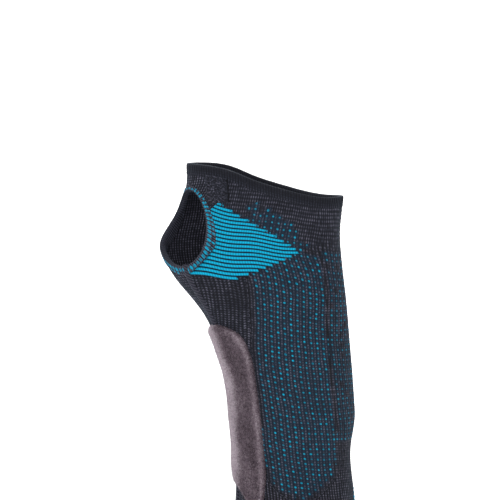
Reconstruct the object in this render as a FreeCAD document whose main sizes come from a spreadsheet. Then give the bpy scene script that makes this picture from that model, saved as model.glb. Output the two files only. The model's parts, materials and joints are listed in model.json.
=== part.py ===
import FreeCAD, Part
import math
import os
import Sketcher

from FreeCAD import Placement, Rotation, Vector

# Knitted wrist splint for the left hand, standing on the hem of its forearm end.
# +Z runs from the forearm to the fingers, -Y is the palm side, -X the thumb side.
# The sleeve is measured from its own middle line. That line stands a little to the
# little-finger side of the row's origin, which is the bottom centre of the whole.

doc = FreeCAD.newDocument("wrist_splint")
sheet = doc.addObject("Spreadsheet::Sheet", "Sizes")

SIZES = (
    ("middle_line_side", 9.6),
    ("middle_line_depth", -0.35),
    ("knit_thickness", 2.0),
    ("band_relief", 0.5),
    ("seam_relief", 1.0),
    ("bend_radius", 740.0),
    ("bend_height", 30.0),
    ("palm_depth", 25.0),
    ("forearm_flare", 0.09),
    ("ring_step", 10.0),
    ("ring_count", 22),
    ("rim_slope", 0.10),
    ("welt_height", 5.5),
    ("hem_height", 16.0),
    ("seam_width", 3.0),
    ("radial_seam_depth", -6.9),
    ("ulnar_seam_depth", 11.5),
    ("web_seam_side", -26.0),
    ("web_seam_width", 12.0),
    ("web_seam_height", 179.0),
    ("thumb_side", -44.5),
    ("thumb_depth", 0.5),
    ("thumb_height", 165.6),
    ("thumb_half_width", 12.6),
    ("thumb_half_height", 18.2),
    ("thumb_turn", 15.0),
    ("thumb_tilt", 45.0),
    ("thumb_band_width", 3.0),
    ("thumb_band_rise", 2.2),
    ("stay_thickness", 1.4),
    ("stay_radius", 737.55),
    ("stay_crown", 34.0),
    ("stay_crown_side", 1.0),
    ("stay_left", -6.0),
    ("stay_right", 15.0),
    ("stay_start", 0.31),
    ("stay_sweep", 9.95),
    ("stay_corner", 7.5),
    ("cap_skin", 0.3),
    ("cap_sweep", 0.75),
    ("slide_gap", 0.35),
    ("pocket_left", -11.4),
    ("pocket_right", 23.4),
    ("pocket_mouth", 36.5),
    ("pocket_top", 168.5),
    ("stitch_left", -13.6),
    ("stitch_right", 28.3),
    ("stitch_foot", 23.0),
    ("stitch_top", 138.0),
    ("stitch_corner", 15.0),
    ("stitch_width", 0.9),
    ("lining_depth", 7.3),
    ("ulnar_stay_side", 31.3),
    ("ulnar_stay_width", 8.0),
    ("ulnar_stay_foot", 54.0),
    ("ulnar_stay_length", 98.0),
    ("ulnar_stay_lean", 3.43),
    ("ulnar_stay_depth", -1.2),
    ("ulnar_cap_length", 6.0),
    ("channel_width", 15.0),
    ("channel_foot", 51.0),
    ("channel_top", 150.0),
    ("velour_thickness", 3.0),
    ("radial_stay_turn", 20.0),
    ("radial_stay_width", 10.0),
    ("radial_stay_foot", 31.0),
    ("radial_stay_top", 104.0),
    ("radial_cap_length", 7.0),
    ("grip_foot", 4.0),
    ("grip_height", 8.0),
    ("grip_thickness", 0.8),
    ("label_width", 22.0),
    ("label_height", 15.0),
    ("label_foot", 19.0),
)

for row, (alias, value) in enumerate(SIZES, start=1):
    sheet.set(f"A{row}", alias.replace("_", " "))
    sheet.set(f"B{row}", str(value))
    sheet.setAlias(f"B{row}", alias)

# Height of each cross-section and its reach to the thumb side, the little-finger
# side and the back of the hand.
SECTIONS = (
    (0.0, 31.0, 34.2, 26.5),
    (20.0, 29.6, 33.0, 26.0),
    (42.0, 27.4, 32.5, 25.5),
    (60.0, 27.0, 36.5, 25.0),
    (80.0, 27.1, 37.1, 24.5),
    (92.0, 28.9, 37.1, 24.2),
    (104.0, 32.2, 37.0, 23.9),
    (118.0, 36.9, 37.0, 23.5),
    (132.0, 45.5, 36.6, 23.5),
    (146.0, 55.0, 36.2, 23.7),
    (160.0, 58.8, 36.8, 24.4),
    (172.0, 53.5, 39.0, 25.6),
    (185.0, 43.5, 40.0, 27.4),
    (210.0, 39.2, 40.3, 32.0),
)

for number, values in enumerate(SECTIONS):
    row = len(SIZES) + 2 + number
    sheet.set(f"A{row}", f"section {number}")
    for column, field, value in zip("BCDE", ("height", "thumb", "little", "back"), values):
        sheet.set(f"{column}{row}", str(value))
        sheet.setAlias(f"{column}{row}", f"section_{field}_{chr(97 + number)}")

doc.recompute()


def size(alias):
    return float(sheet.get(alias))


def bind(item, **rules):
    for field, rule in rules.items():
        item.setExpression(field, rule)
    return item


MIDDLE = Vector(size("middle_line_side"), size("middle_line_depth"), 0)


def placed(side, depth, height, turn=0.0):
    """Place at a point of the sleeve's own frame, turned about its middle line."""
    spin = Placement(MIDDLE, Rotation(Vector(0, 0, 1), turn))
    return spin.multiply(Placement(Vector(side, depth, height), Rotation()))


def box(label, corner, length, width, height, turn=0.0):
    item = doc.addObject("Part::Box", label)
    item.Placement = placed(*corner, turn)
    for field, rule in zip(("Length", "Width", "Height"), (length, width, height)):
        item.setExpression(field, rule)
    return item


def cut(label, base, tool):
    item = doc.addObject("Part::Cut", label)
    item.Base = base
    item.Tool = tool
    return item


def common(label, *members):
    item = doc.addObject("Part::MultiCommon", label)
    item.Shapes = list(members)
    return item


def fuse(label, *members):
    item = doc.addObject("Part::MultiFuse", label)
    item.Shapes = list(members)
    return item


# Cross-sections and skins

def palm_line(height):
    """Depth of the palm side: an arc about the stay's far centre, flaring at the forearm."""
    rise = height - size("bend_height")
    if rise < 0:
        return -size("palm_depth") + size("forearm_flare") * rise
    centre = size("bend_radius") - size("palm_depth")
    return centre - math.sqrt(size("bend_radius") ** 2 - rise ** 2)


def key(field, number):
    return size(f"section_{field}_{chr(97 + number)}")


def slope_at(field, number):
    """Slope through a key section, level where the reach turns."""
    if number in (0, len(SECTIONS) - 1):
        near = min(max(number, 1), len(SECTIONS) - 1)
        run = key("height", near) - key("height", near - 1)
        return (key(field, near) - key(field, near - 1)) / run
    slopes = []
    for first in (number - 1, number):
        run = key("height", first + 1) - key("height", first)
        slopes.append((key(field, first + 1) - key(field, first)) / run)
    before, after = slopes
    if before * after <= 0:
        return 0.0
    return 2 * before * after / (before + after)


def reach(field, height):
    """Reach of the sleeve at any height, curving smoothly through the key sections."""
    last = len(SECTIONS) - 2
    number = max(index for index in range(last + 1) if key("height", index) <= height or index == 0)
    run = key("height", number + 1) - key("height", number)
    part = (height - key("height", number)) / run
    start, end = key(field, number), key(field, number + 1)
    start_pull, end_pull = slope_at(field, number) * run, slope_at(field, number + 1) * run
    ease = part * part * (3 - 2 * part)
    pulls = start_pull * part * (1 - part) ** 2 - end_pull * part * part * (1 - part)
    return start + (end - start) * ease + pulls


def outline(height, growth):
    """Closed outline of one cross-section: four quarter ellipses, grown outwards."""
    thumb = reach("thumb", height) + growth
    little = reach("little", height) + growth
    back = reach("back", height)
    palm = palm_line(height)
    deep = (back - palm) / 2 + growth
    centre = MIDDLE + Vector(0, (back + palm) / 2, height)
    quarters = []
    for turn, across in enumerate((little, thumb, thumb, little)):
        ellipse = Part.Ellipse(centre, across, deep)
        start = turn * math.pi / 2
        quarters.append(Part.ArcOfEllipse(ellipse, start, start + math.pi / 2).toShape())
    return Part.Wire(quarters)


def skin(label, growth):
    """Solid filled to a skin that lies the given distance outside the knit."""
    rings = []
    for number in range(int(size("ring_count"))):
        ring = doc.addObject("Part::Feature", f"{label}_ring_{number}")
        ring.Shape = outline(number * size("ring_step"), growth)
        rings.append(ring)
    item = doc.addObject("Part::Loft", label)
    item.Sections = rings
    item.Solid = True
    item.Ruled = False
    return item


knit = size("knit_thickness")
outer_skin = skin("outer_skin", 0.0)
inner_skin = skin("inner_skin", -knit)
band_skin = skin("band_skin", size("band_relief"))
seam_skin = skin("seam_skin", size("seam_relief"))
grip_skin = skin("grip_skin", -knit - size("grip_thickness"))
lining_skin = skin("lining_skin", -size("lining_depth"))
velour_skin = skin("velour_skin", size("velour_thickness"))
radial_stay_back = skin("radial_stay_back", 0.3)
radial_stay_front = skin("radial_stay_front", 1.5)
radial_cap_front = skin("radial_cap_front", 1.8)

knit_shell = cut("knit_shell", outer_skin, inner_skin)
band_shell = cut("band_shell", band_skin, inner_skin)
seam_shell = cut("seam_shell", seam_skin, inner_skin)


# Top rim: high on the thumb side, low at the little finger, higher at the back

RIM = (
    (-75, 201.5),
    (-38, 199),
    (-20, 194.6),
    (-8.6, 189.2),
    (4, 184.2),
    (17, 179.6),
    (28, 176.7),
    (38, 176),
    (70, 178.5),
)


def above_rim(label, drop):
    """Everything above the rim line, lowered by a drop."""
    slope = size("rim_slope")
    fall = slope * 51 + drop
    points = [MIDDLE + Vector(side, -60, height - fall) for side, height in RIM]
    curve = Part.BSplineCurve()
    curve.interpolate(points)
    top_right = Vector(points[-1].x, points[-1].y, 260)
    top_left = Vector(points[0].x, points[0].y, 260)
    sides = Part.makePolygon([points[-1], top_right, top_left, points[0]])
    face = Part.Face(Part.Wire([curve.toShape()] + sides.Edges))
    item = doc.addObject("Part::Feature", label)
    item.Shape = face.extrude(Vector(0, 140, 140 * slope))
    return item


over_rim = above_rim("over_rim", 0.0)
over_welt = above_rim("over_welt", size("welt_height"))
welt_slice = cut("welt_slice", over_welt, over_rim)
hem_slice = box("hem_slice", (-80, -80, 0), "160 mm", "160 mm", "Sizes.hem_height")


# Thumb opening: a tilted oval tool, and a wider one for its edge band

def thumb_tool(label, width_rule, height_rule):
    oval = doc.addObject("Part::Ellipse", f"{label}_oval")
    bind(oval, MajorRadius=height_rule, MinorRadius=width_rule)
    turn = math.radians(size("thumb_turn"))
    tilt = math.radians(size("thumb_tilt"))
    outward = Vector(-math.cos(turn) * math.cos(tilt), -math.sin(turn) * math.cos(tilt), math.sin(tilt))
    upward = (Vector(0, 0, 1) - outward * outward.z).normalize()
    inner_reach = 15.0
    centre = Vector(size("thumb_side"), size("thumb_depth"), size("thumb_height")) + MIDDLE
    turned = Rotation(upward, outward.cross(upward), outward, "XYZ")
    oval.Placement = Placement(centre - outward * inner_reach, turned)
    tool = doc.addObject("Part::Extrusion", label)
    tool.Base = oval
    tool.DirMode = "Custom"
    tool.Dir = outward
    tool.LengthFwd = 60.0
    tool.Solid = True
    return tool


thumb_hole = thumb_tool("thumb_hole", "Sizes.thumb_half_width", "Sizes.thumb_half_height")
thumb_field = thumb_tool(
    "thumb_field",
    "Sizes.thumb_half_width + Sizes.thumb_band_width",
    "Sizes.thumb_half_height + Sizes.thumb_band_rise",
)
thumb_ring = cut("thumb_ring", thumb_field, thumb_hole)


# Palm half and back half of the knit

def prism(label, corners, foot, top):
    """Upright prism over a floor outline."""
    points = [MIDDLE + Vector(side, depth, foot) for side, depth in corners]
    base = doc.addObject("Part::Feature", f"{label}_floor")
    base.Shape = Part.makePolygon(points + points[:1])
    item = doc.addObject("Part::Extrusion", label)
    item.Base = base
    item.DirMode = "Custom"
    item.Dir = Vector(0, 0, 1)
    item.LengthFwd = top - foot
    item.Solid = True
    return item


radial_line = size("radial_seam_depth")
ulnar_line = size("ulnar_seam_depth")
web_line = size("web_seam_side")
web_foot = size("web_seam_height")
palm_low = prism(
    "palm_low",
    ((-90, -70), (-90, radial_line), (-15, radial_line), (15, ulnar_line), (90, ulnar_line), (90, -70)),
    -5,
    web_foot,
)
palm_high = prism(
    "palm_high",
    ((web_line, -70), (web_line, 5), (15, ulnar_line), (90, ulnar_line), (90, -70)),
    web_foot,
    230,
)
palm_side = fuse("palm_side", palm_low, palm_high)

seam_half = size("seam_width") / 2
radial_slab = box(
    "radial_slab", (-95, radial_line - seam_half, -5), "80 mm", "Sizes.seam_width", "160 mm"
)
ulnar_slab = box("ulnar_slab", (15, ulnar_line - seam_half, -5), "80 mm", "Sizes.seam_width", "240 mm")
seam_slabs = fuse("seam_slabs", radial_slab, ulnar_slab)
edge_bands = fuse("edge_bands", over_welt, hem_slice, thumb_field)
panel_tools = fuse("panel_tools", over_welt, hem_slice, thumb_field, radial_slab, ulnar_slab)
panel_knit = cut("panel_knit", knit_shell, panel_tools)

web_patch = box(
    "web_patch",
    (web_line - size("web_seam_width") / 2, -40, web_foot),
    "Sizes.web_seam_width",
    "45 mm",
    "40 mm",
)


# Palm stay: a crowned strip bent about one far centre, so it can be drawn out along itself

HINGE_DEPTH = size("bend_radius") - size("palm_depth")


def strip_profile(body, label, thicker, wider):
    """Cross-section of the strip, thickened and widened evenly, below the far centre."""
    sketch = body.newObject("Sketcher::SketchObject", label)
    plane = [item for item in body.Origin.OriginFeatures if item.Role == "XY_Plane"][0]
    sketch.AttachmentSupport = [(plane, "")]
    sketch.MapMode = "FlatFace"
    crown = size("stay_crown")
    middle = Vector(size("stay_crown_side"), -(size("stay_radius") - crown), 0)
    outer = crown + thicker
    inner = crown - size("stay_thickness") - thicker
    left = size("stay_left") - wider - middle.x
    right = size("stay_right") + wider - middle.x
    up = Vector(0, 0, 1)
    corners = []
    for reach in (outer, inner):
        first = -math.pi / 2 + math.asin(left / reach)
        last = -math.pi / 2 + math.asin(right / reach)
        arc = Part.ArcOfCircle(Part.Circle(middle, up, reach), first, last)
        sketch.addGeometry(arc, False)
        corners.append((arc.StartPoint, arc.EndPoint))
    for side in (0, 1):
        sketch.addGeometry(Part.LineSegment(corners[0][side], corners[1][side]), False)
    for line, end in ((2, 1), (3, 2)):
        sketch.addConstraint(Sketcher.Constraint("Coincident", line, 1, 0, end))
        sketch.addConstraint(Sketcher.Constraint("Coincident", line, 2, 1, end))
    sketch.addConstraint(Sketcher.Constraint("Coincident", 0, 3, 1, 3))
    rules = (
        (Sketcher.Constraint("Radius", 0, outer), f"Sizes.stay_crown + {thicker}"),
        (Sketcher.Constraint("Radius", 1, inner), f"Sizes.stay_crown - Sizes.stay_thickness - {thicker}"),
    )
    for constraint, rule in rules:
        index = sketch.addConstraint(constraint)
        sketch.setExpression(f"Constraints[{index}]", rule)
    return sketch


def strip(label, thicker, wider, start, sweep):
    """Length of the strip from a start angle upwards."""
    body = doc.addObject("PartDesign::Body", label)
    sketch = strip_profile(body, f"{label}_profile", thicker, wider)
    turn = body.newObject("PartDesign::Revolution", f"{label}_turn")
    turn.Profile = sketch
    turn.ReferenceAxis = (sketch, ["H_Axis"])
    turn.Reversed = True
    turn.setExpression("Angle", sweep)
    body.Tip = turn
    hinge = MIDDLE + Vector(0, HINGE_DEPTH, size("bend_height"))
    body.Placement = Placement(hinge, Rotation(Vector(1, 0, 0), -start))
    return body


def strip_plan(label, extra):
    """Rounded rectangle tool, seen from the palm, that shapes the strip's ends."""
    radius = size("stay_radius")
    low = size("bend_height") + radius * math.sin(math.radians(size("stay_start"))) - extra
    last = math.radians(size("stay_start") + size("stay_sweep"))
    high = size("bend_height") + radius * math.sin(last) + extra
    blank = box(
        f"{label}_blank",
        (size("stay_left") - extra, -60, low),
        f"Sizes.stay_right - Sizes.stay_left + {2 * extra}",
        "80 mm",
        f"{high - low} mm",
    )
    doc.recompute()
    item = doc.addObject("Part::Fillet", label)
    item.Base = blank
    edges = []
    corner = size("stay_corner") + extra
    for index, edge in enumerate(blank.Shape.Edges, start=1):
        if abs(edge.Length - 80) < 0.01:
            edges.append((index, corner, corner))
    item.Edges = edges
    return item


start = size("stay_start")
sweep = size("stay_sweep")
tip = size("cap_sweep")
film = size("cap_skin")
film_turn = math.degrees(film / size("stay_radius"))
gap = size("slide_gap")
gap_turn = math.degrees(gap / size("stay_radius"))
stay_blank = strip("stay_blank", 0.0, 0.0, start, "Sizes.stay_sweep")
palm_stay = common("palmar_stay", stay_blank, strip_plan("stay_plan", 0.0))
cap_low = strip("cap_low_blank", film, film, start - film_turn, f"{tip + film_turn} deg")
cap_high = strip("cap_high_blank", film, film, start + sweep - tip, f"{tip + film_turn} deg")
cap_plan = strip_plan("cap_plan", film)
palm_cap_low = cut("palmar_stay_cap_lower", common("cap_low_round", cap_low, cap_plan), palm_stay)
palm_cap_high = cut("palmar_stay_cap_upper", common("cap_high_round", cap_high, cap_plan), palm_stay)
slot_foot = math.degrees(math.asin((20.0 - size("bend_height")) / size("stay_radius")))
slot_top = start + sweep + film_turn + 2 * gap_turn
palm_slot = strip("palm_slot", film + gap, film + gap, slot_foot, f"{slot_top - slot_foot} deg")


# Little-finger stay: a straight strip in a channel that opens towards the hand

lean = Rotation(Vector(1, 0, 0), -size("ulnar_stay_lean"))


def leaning_box(label, side, thickness, width, foot, length):
    """Box on the stay's leaning line: side to side, then front to back, then along."""
    item = doc.addObject("Part::Box", label)
    for field, rule in zip(("Length", "Width", "Height"), (thickness, width, length)):
        item.setExpression(field, f"{rule} mm" if isinstance(rule, (int, float)) else rule)
    start_point = MIDDLE + Vector(0, size("ulnar_stay_depth"), 50.0)
    across = item.Width.Value
    corner = Vector(side, -across / 2, foot - 50.0)
    item.Placement = Placement(start_point, lean).multiply(Placement(corner, Rotation()))
    return item


def leaning_strip(label, side, thickness, width, foot, length, corner):
    """Leaning strip with its four corners rounded."""
    plain = leaning_box(f"{label}_blank", side, thickness, width, foot, length)
    doc.recompute()
    rounded = doc.addObject("Part::Fillet", label)
    rounded.Base = plain
    edges = []
    for index, edge in enumerate(plain.Shape.Edges, start=1):
        if abs(edge.Length - thickness) < 0.01:
            edges.append((index, corner, corner))
    rounded.Edges = edges
    return rounded


side = size("ulnar_stay_side")
thick = size("stay_thickness")
wide = size("ulnar_stay_width")
foot = size("ulnar_stay_foot")
long = size("ulnar_stay_length")
cap = size("ulnar_cap_length")
ulnar_stay = leaning_strip("ulnar_stay", side, thick, wide, foot, long, 3.2)
cap_sleeve = leaning_strip(
    "cap_sleeve", side - film, thick + 2 * film, wide + 2 * film, foot - film, long + 2 * film, 3.5
)
ulnar_cap_low = cut(
    "ulnar_stay_cap_lower",
    common("ulnar_cap_low_blank", cap_sleeve, leaning_box("ulnar_low_end", 0, 60, 60, foot - 20, 20 + cap)),
    ulnar_stay,
)
ulnar_cap_high = cut(
    "ulnar_stay_cap_upper",
    common(
        "ulnar_cap_high_blank",
        cap_sleeve,
        leaning_box("ulnar_high_end", 0, 60, 60, foot + long - cap, 20 + cap),
    ),
    ulnar_stay,
)
ulnar_slot = leaning_box(
    "ulnar_slot",
    side - film - gap,
    thick + 2 * (film + gap),
    wide + 2 * (film + gap),
    foot - film - gap,
    150.0,
)
slots = fuse("slots", palm_slot, ulnar_slot)


# Knitted body

palm_knit = common("palm_knit", panel_knit, palm_side)
palmar_panel = cut("palmar_panel", palm_knit, slots)
back_knit = cut("back_knit", panel_knit, palm_side)
dorsal_panel = cut("dorsal_panel", back_knit, ulnar_slot)
distal_welt = cut("distal_welt", common("welt_knit", band_shell, welt_slice), ulnar_slot)
forearm_hem = common("forearm_hem", band_shell, hem_slice)
thumb_edge_band = cut("thumb_edge_band", common("thumb_knit", band_shell, thumb_ring), over_welt)
ulnar_edges = fuse("ulnar_edges", over_welt, hem_slice, ulnar_slot)
ulnar_seam = cut("ulnar_seam", common("ulnar_knit", seam_shell, ulnar_slab), ulnar_edges)
web_overlay = cut("web_overlay", seam_skin, outer_skin)
web_knit = common("web_knit", web_overlay, web_patch)
web_seam_overlap = cut("web_seam_overlap", web_knit, edge_bands)


# Pocket for the palm stay and channel for the little-finger stay, inside the knit

lining_shell = cut("lining_shell", inner_skin, lining_skin)
pocket_block = box(
    "pocket_block",
    (size("pocket_left"), -60, size("pocket_mouth")),
    "Sizes.pocket_right - Sizes.pocket_left",
    "60 mm",
    "Sizes.pocket_top - Sizes.pocket_mouth",
)
palmar_pocket_lining = cut(
    "palmar_pocket_lining", common("pocket_pad", lining_shell, pocket_block), palm_slot
)
channel_block = leaning_box(
    "channel_block",
    20.0,
    30.0,
    "Sizes.channel_width",
    size("channel_foot"),
    size("channel_top") - size("channel_foot"),
)
channel_pad = common("channel_pad", lining_shell, channel_block)
ulnar_stay_channel = cut("ulnar_stay_channel", channel_pad, ulnar_slot)



def stitch_tool(label, inset, front):
    """Upright slab with its two lower corners rounded, drawn in by an inset."""
    foot = size("stitch_foot") + inset
    blank = box(
        f"{label}_blank",
        (size("stitch_left") + inset, front, foot),
        f"Sizes.stitch_right - Sizes.stitch_left - {2 * inset}",
        "60 mm",
        f"Sizes.stitch_top - {foot}",
    )
    doc.recompute()
    edges = []
    corner = size("stitch_corner") - inset
    for index, edge in enumerate(blank.Shape.Edges, start=1):
        if abs(edge.Length - 60) < 0.01 and edge.CenterOfMass.z < foot + 1:
            edges.append((index, corner, corner))
    item = doc.addObject("Part::Fillet", label)
    item.Base = blank
    item.Edges = edges
    return item


stitch_outer = stitch_tool("stitch_outer", 0.0, -60)
stitch_inner = stitch_tool("stitch_inner", size("stitch_width"), -59)
stitch_path = cut("stitch_path", stitch_outer, stitch_inner)
stitch_layer = cut("stitch_layer", band_skin, outer_skin)
pocket_stitch_line = cut("pocket_stitch_line", common("stitch_knit", stitch_layer, stitch_path), over_welt)


# Velour cover, the sealed stay under it, and the seam under both

VELOUR_TURN = 30.0
VELOUR_OUTLINE = (
    (-10.5, 115.4),
    (3.0, 109.6),
    (8.0, 98.0),
    (10.0, 82.0),
    (12.0, 58.0),
    (12.2, 32.0),
    (9.0, 18.5),
    (-2.8, 28.0),
    (-15.0, 37.0),
    (-25.0, 50.0),
    (-27.0, 76.0),
    (-25.0, 102.0),
    (-19.0, 113.0),
)


def velour_tool(label):
    """Prism over the cover's outline, running out from the middle line to the thumb side."""
    turn = math.radians(VELOUR_TURN)
    outward = Vector(-math.cos(turn), -math.sin(turn), 0)
    along = Vector(math.sin(turn), -math.cos(turn), 0)
    start = MIDDLE + outward * 8
    points = [start + along * across + Vector(0, 0, height) for across, height in VELOUR_OUTLINE]
    curve = Part.BSplineCurve()
    curve.interpolate(points, PeriodicFlag=True)
    face = Part.Face(Part.Wire(curve.toShape()))
    item = doc.addObject("Part::Feature", label)
    item.Shape = face.extrude(outward * 50)
    return item


def radial_slot(label, extra, low, high):
    """Round-ended slot tool across the thumb side, for the sealed stay and its ends."""
    turn = 180 + size("radial_stay_turn")
    half = size("radial_stay_width") / 2 + extra
    body = box(
        f"{label}_body",
        (10, -half, low + half),
        "60 mm",
        f"Sizes.radial_stay_width + {2 * extra}",
        f"{high - low - 2 * half} mm",
        turn,
    )
    rounds = []
    for name, height in (("low", low + half), ("high", high - half)):
        end = doc.addObject("Part::Cylinder", f"{label}_{name}")
        end.Placement = placed(10, 0, height, turn).multiply(
            Placement(Vector(), Rotation(Vector(0, 1, 0), 90))
        )
        bind(end, Radius=f"Sizes.radial_stay_width / 2 + {extra}", Height="60 mm")
        rounds.append(end)
    return fuse(label, body, *rounds)


velour_block = velour_tool("velour_block")
low = size("radial_stay_foot")
high = size("radial_stay_top")
cap = size("radial_cap_length")
stay_slot = radial_slot("stay_slot", 0.0, low, high)
cap_slot = radial_slot("cap_slot", film, low - film, high + film)
stay_layer = cut("radial_stay_layer", radial_stay_front, radial_stay_back)
radial_stay = common("radial_stay", stay_layer, stay_slot)
cap_shell = cut("radial_cap_shell", radial_cap_front, outer_skin)
cap_layer = common("cap_layer", cap_shell, cap_slot)
low_end = box("low_end", (-80, -80, low - 10), "160 mm", "160 mm", f"{10 + cap} mm")
high_end = box("high_end", (-80, -80, high - cap), "160 mm", "160 mm", f"{10 + cap} mm")
radial_cap_low = cut("radial_stay_cap_lower", common("radial_cap_low_blank", cap_layer, low_end), radial_stay)
radial_cap_high = cut(
    "radial_stay_cap_upper", common("radial_cap_high_blank", cap_layer, high_end), radial_stay
)
sealed_stay = fuse("sealed_stay", radial_stay, radial_cap_low, radial_cap_high)
seam_gap = cut("seam_gap", radial_slot("seam_slot", 2.0, low - 2.0, high + 2.0), outer_skin)
radial_edges = fuse("radial_edges", edge_bands, seam_gap)
radial_seam = cut("radial_seam", common("radial_knit", seam_shell, radial_slab), radial_edges)
velour_room = fuse("velour_room", sealed_stay, radial_seam, pocket_stitch_line)
velour_layer = cut("velour_layer", velour_skin, outer_skin)
velour_pad = common("velour_pad", velour_layer, velour_block)
velour_stay_cover = cut("velour_stay_cover", velour_pad, velour_room)


# Grip ring and blank care label on the inside of the forearm end

grip_layer = cut("grip_layer", inner_skin, grip_skin)
grip_slice = box("grip_slice", (-80, -80, size("grip_foot")), "160 mm", "160 mm", "Sizes.grip_height")
silicone_grip = common("silicone_grip", grip_layer, grip_slice)
label_block = box(
    "label_block",
    (-size("label_width") / 2, 0, size("label_foot")),
    "Sizes.label_width",
    "60 mm",
    "Sizes.label_height",
)
care_label = common("care_label", grip_layer, label_block)

NODES = {
    "palmar_panel": palmar_panel,
    "dorsal_panel": dorsal_panel,
    "distal_welt": distal_welt,
    "forearm_hem": forearm_hem,
    "thumb_edge_band": thumb_edge_band,
    "radial_seam": radial_seam,
    "ulnar_seam": ulnar_seam,
    "web_seam_overlap": web_seam_overlap,
    "pocket_stitch_line": pocket_stitch_line,
    "palmar_pocket_lining": palmar_pocket_lining,
    "palmar_stay": palm_stay,
    "palmar_stay_cap_lower": palm_cap_low,
    "palmar_stay_cap_upper": palm_cap_high,
    "ulnar_stay_channel": ulnar_stay_channel,
    "ulnar_stay": ulnar_stay,
    "ulnar_stay_cap_lower": ulnar_cap_low,
    "ulnar_stay_cap_upper": ulnar_cap_high,
    "velour_stay_cover": velour_stay_cover,
    "radial_stay": radial_stay,
    "radial_stay_cap_lower": radial_cap_low,
    "radial_stay_cap_upper": radial_cap_high,
    "silicone_grip": silicone_grip,
    "care_label": care_label,
}

doc.recompute()

for item in doc.Objects:
    if "Invalid" in item.State or "Error" in item.State:
        raise RuntimeError(f"{item.Name} did not build: {item.State}")

os.makedirs("parts", exist_ok=True)
for name, item in NODES.items():
    item.Label = name
    shape = item.Shape
    if shape.isNull() or not shape.isValid():
        raise RuntimeError(f"{name} has no valid shape")
    bounds = shape.BoundBox
    print(
        f"{name}: solids {len(shape.Solids)}, volume {shape.Volume:.1f},"
        f" X {bounds.XMin:.2f} {bounds.XMax:.2f} Y {bounds.YMin:.2f} {bounds.YMax:.2f}"
        f" Z {bounds.ZMin:.2f} {bounds.ZMax:.2f}"
    )
    shape.exportStep(f"parts/{name}.step")
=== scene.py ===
import json
import math
import bpy
import numpy as np
from mathutils import Matrix, Vector
from mathutils.bvhtree import BVHTree


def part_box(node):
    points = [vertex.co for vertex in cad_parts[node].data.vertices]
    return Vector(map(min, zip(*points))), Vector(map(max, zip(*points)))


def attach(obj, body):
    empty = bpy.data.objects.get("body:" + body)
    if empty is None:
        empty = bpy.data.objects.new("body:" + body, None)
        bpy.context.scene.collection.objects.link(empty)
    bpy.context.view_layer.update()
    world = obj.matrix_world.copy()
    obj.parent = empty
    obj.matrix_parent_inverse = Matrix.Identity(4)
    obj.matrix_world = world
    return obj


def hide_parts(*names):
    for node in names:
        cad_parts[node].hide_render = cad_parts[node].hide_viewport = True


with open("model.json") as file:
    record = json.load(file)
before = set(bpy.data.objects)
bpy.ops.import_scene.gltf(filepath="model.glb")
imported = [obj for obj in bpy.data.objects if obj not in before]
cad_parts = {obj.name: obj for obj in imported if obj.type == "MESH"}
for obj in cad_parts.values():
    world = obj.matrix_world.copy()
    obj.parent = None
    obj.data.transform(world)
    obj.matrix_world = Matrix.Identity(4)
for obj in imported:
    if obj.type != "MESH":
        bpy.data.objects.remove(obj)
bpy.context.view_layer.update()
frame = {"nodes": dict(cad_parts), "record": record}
NODES = frame["nodes"]
RECORD = frame["record"]
MM = 0.001
rng = np.random.default_rng(11)


# ---- the frame, in millimetres

def entry(entries, name):
    return next(item for item in entries if item["name"] == name)


def box(node):
    return np.array([list(corner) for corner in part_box(node)]) / MM


def tree(*names):
    points, faces = [], []
    for name in names:
        mesh = NODES[name].data
        start = len(points)
        points += [v.co / MM for v in mesh.vertices]
        faces += [[start + i for i in p.vertices] for p in mesh.polygons]
    return BVHTree.FromPolygons(points, faces)


PIVOT = np.array(entry(RECORD["behaviour"]["joints"], "palm_stay_draw")["pos_m"]) / MM
X0 = PIVOT[0]
BAND_RELIEF = 0.5
SURFACES = ((tree("palmar_panel", "dorsal_panel"), 0.0), (tree("distal_welt"), BAND_RELIEF),
            (tree("forearm_hem"), BAND_RELIEF))
HEM_TOP = box("forearm_hem")[1, 2]
HEIGHTS = np.arange(-4.0, 216.0, 2.0)
COLUMN, COURSE, STRIPE, STITCH = 3.42, 2.62, 2.2, 1.15
RIB, SMALL_RIB, FINE_RIB, LOOP = 2.2, 1.25, 1.6, 1.3
WAFFLE = 1.73


def unit(v):
    return v / np.linalg.norm(v, axis=-1, keepdims=True)


def hit(start, way, accept):
    """Where a ray meets the frame's knit, or nan."""
    for surface, relief in SURFACES:
        place = surface.ray_cast(Vector(start), Vector(way))[0]
        if place is not None and accept(place):
            return np.array(place) + np.array(way) * relief
    return np.full(3, np.nan)


def fill(values):
    """The values with gaps bridged, both ends carried on, and the steps smoothed."""
    numbers = np.array(values)
    known = np.flatnonzero(~np.isnan(numbers))
    first, last = known[0], known[-1]
    numbers[first:last + 1] = np.interp(HEIGHTS[first:last + 1], HEIGHTS[known], numbers[known])
    low = (numbers[first + 2] - numbers[first]) / (HEIGHTS[first + 2] - HEIGHTS[first])
    high = (numbers[last] - numbers[last - 3]) / (HEIGHTS[last] - HEIGHTS[last - 3])
    numbers[:first] = numbers[first] + low * (HEIGHTS[:first] - HEIGHTS[first])
    numbers[last + 1:] = numbers[last] + high * 0.5 * (HEIGHTS[last + 1:] - HEIGHTS[last])
    padded = np.pad(numbers, 2, mode="reflect", reflect_type="odd")
    return np.convolve(padded, [0.1, 0.2, 0.4, 0.2, 0.1], mode="valid")


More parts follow.
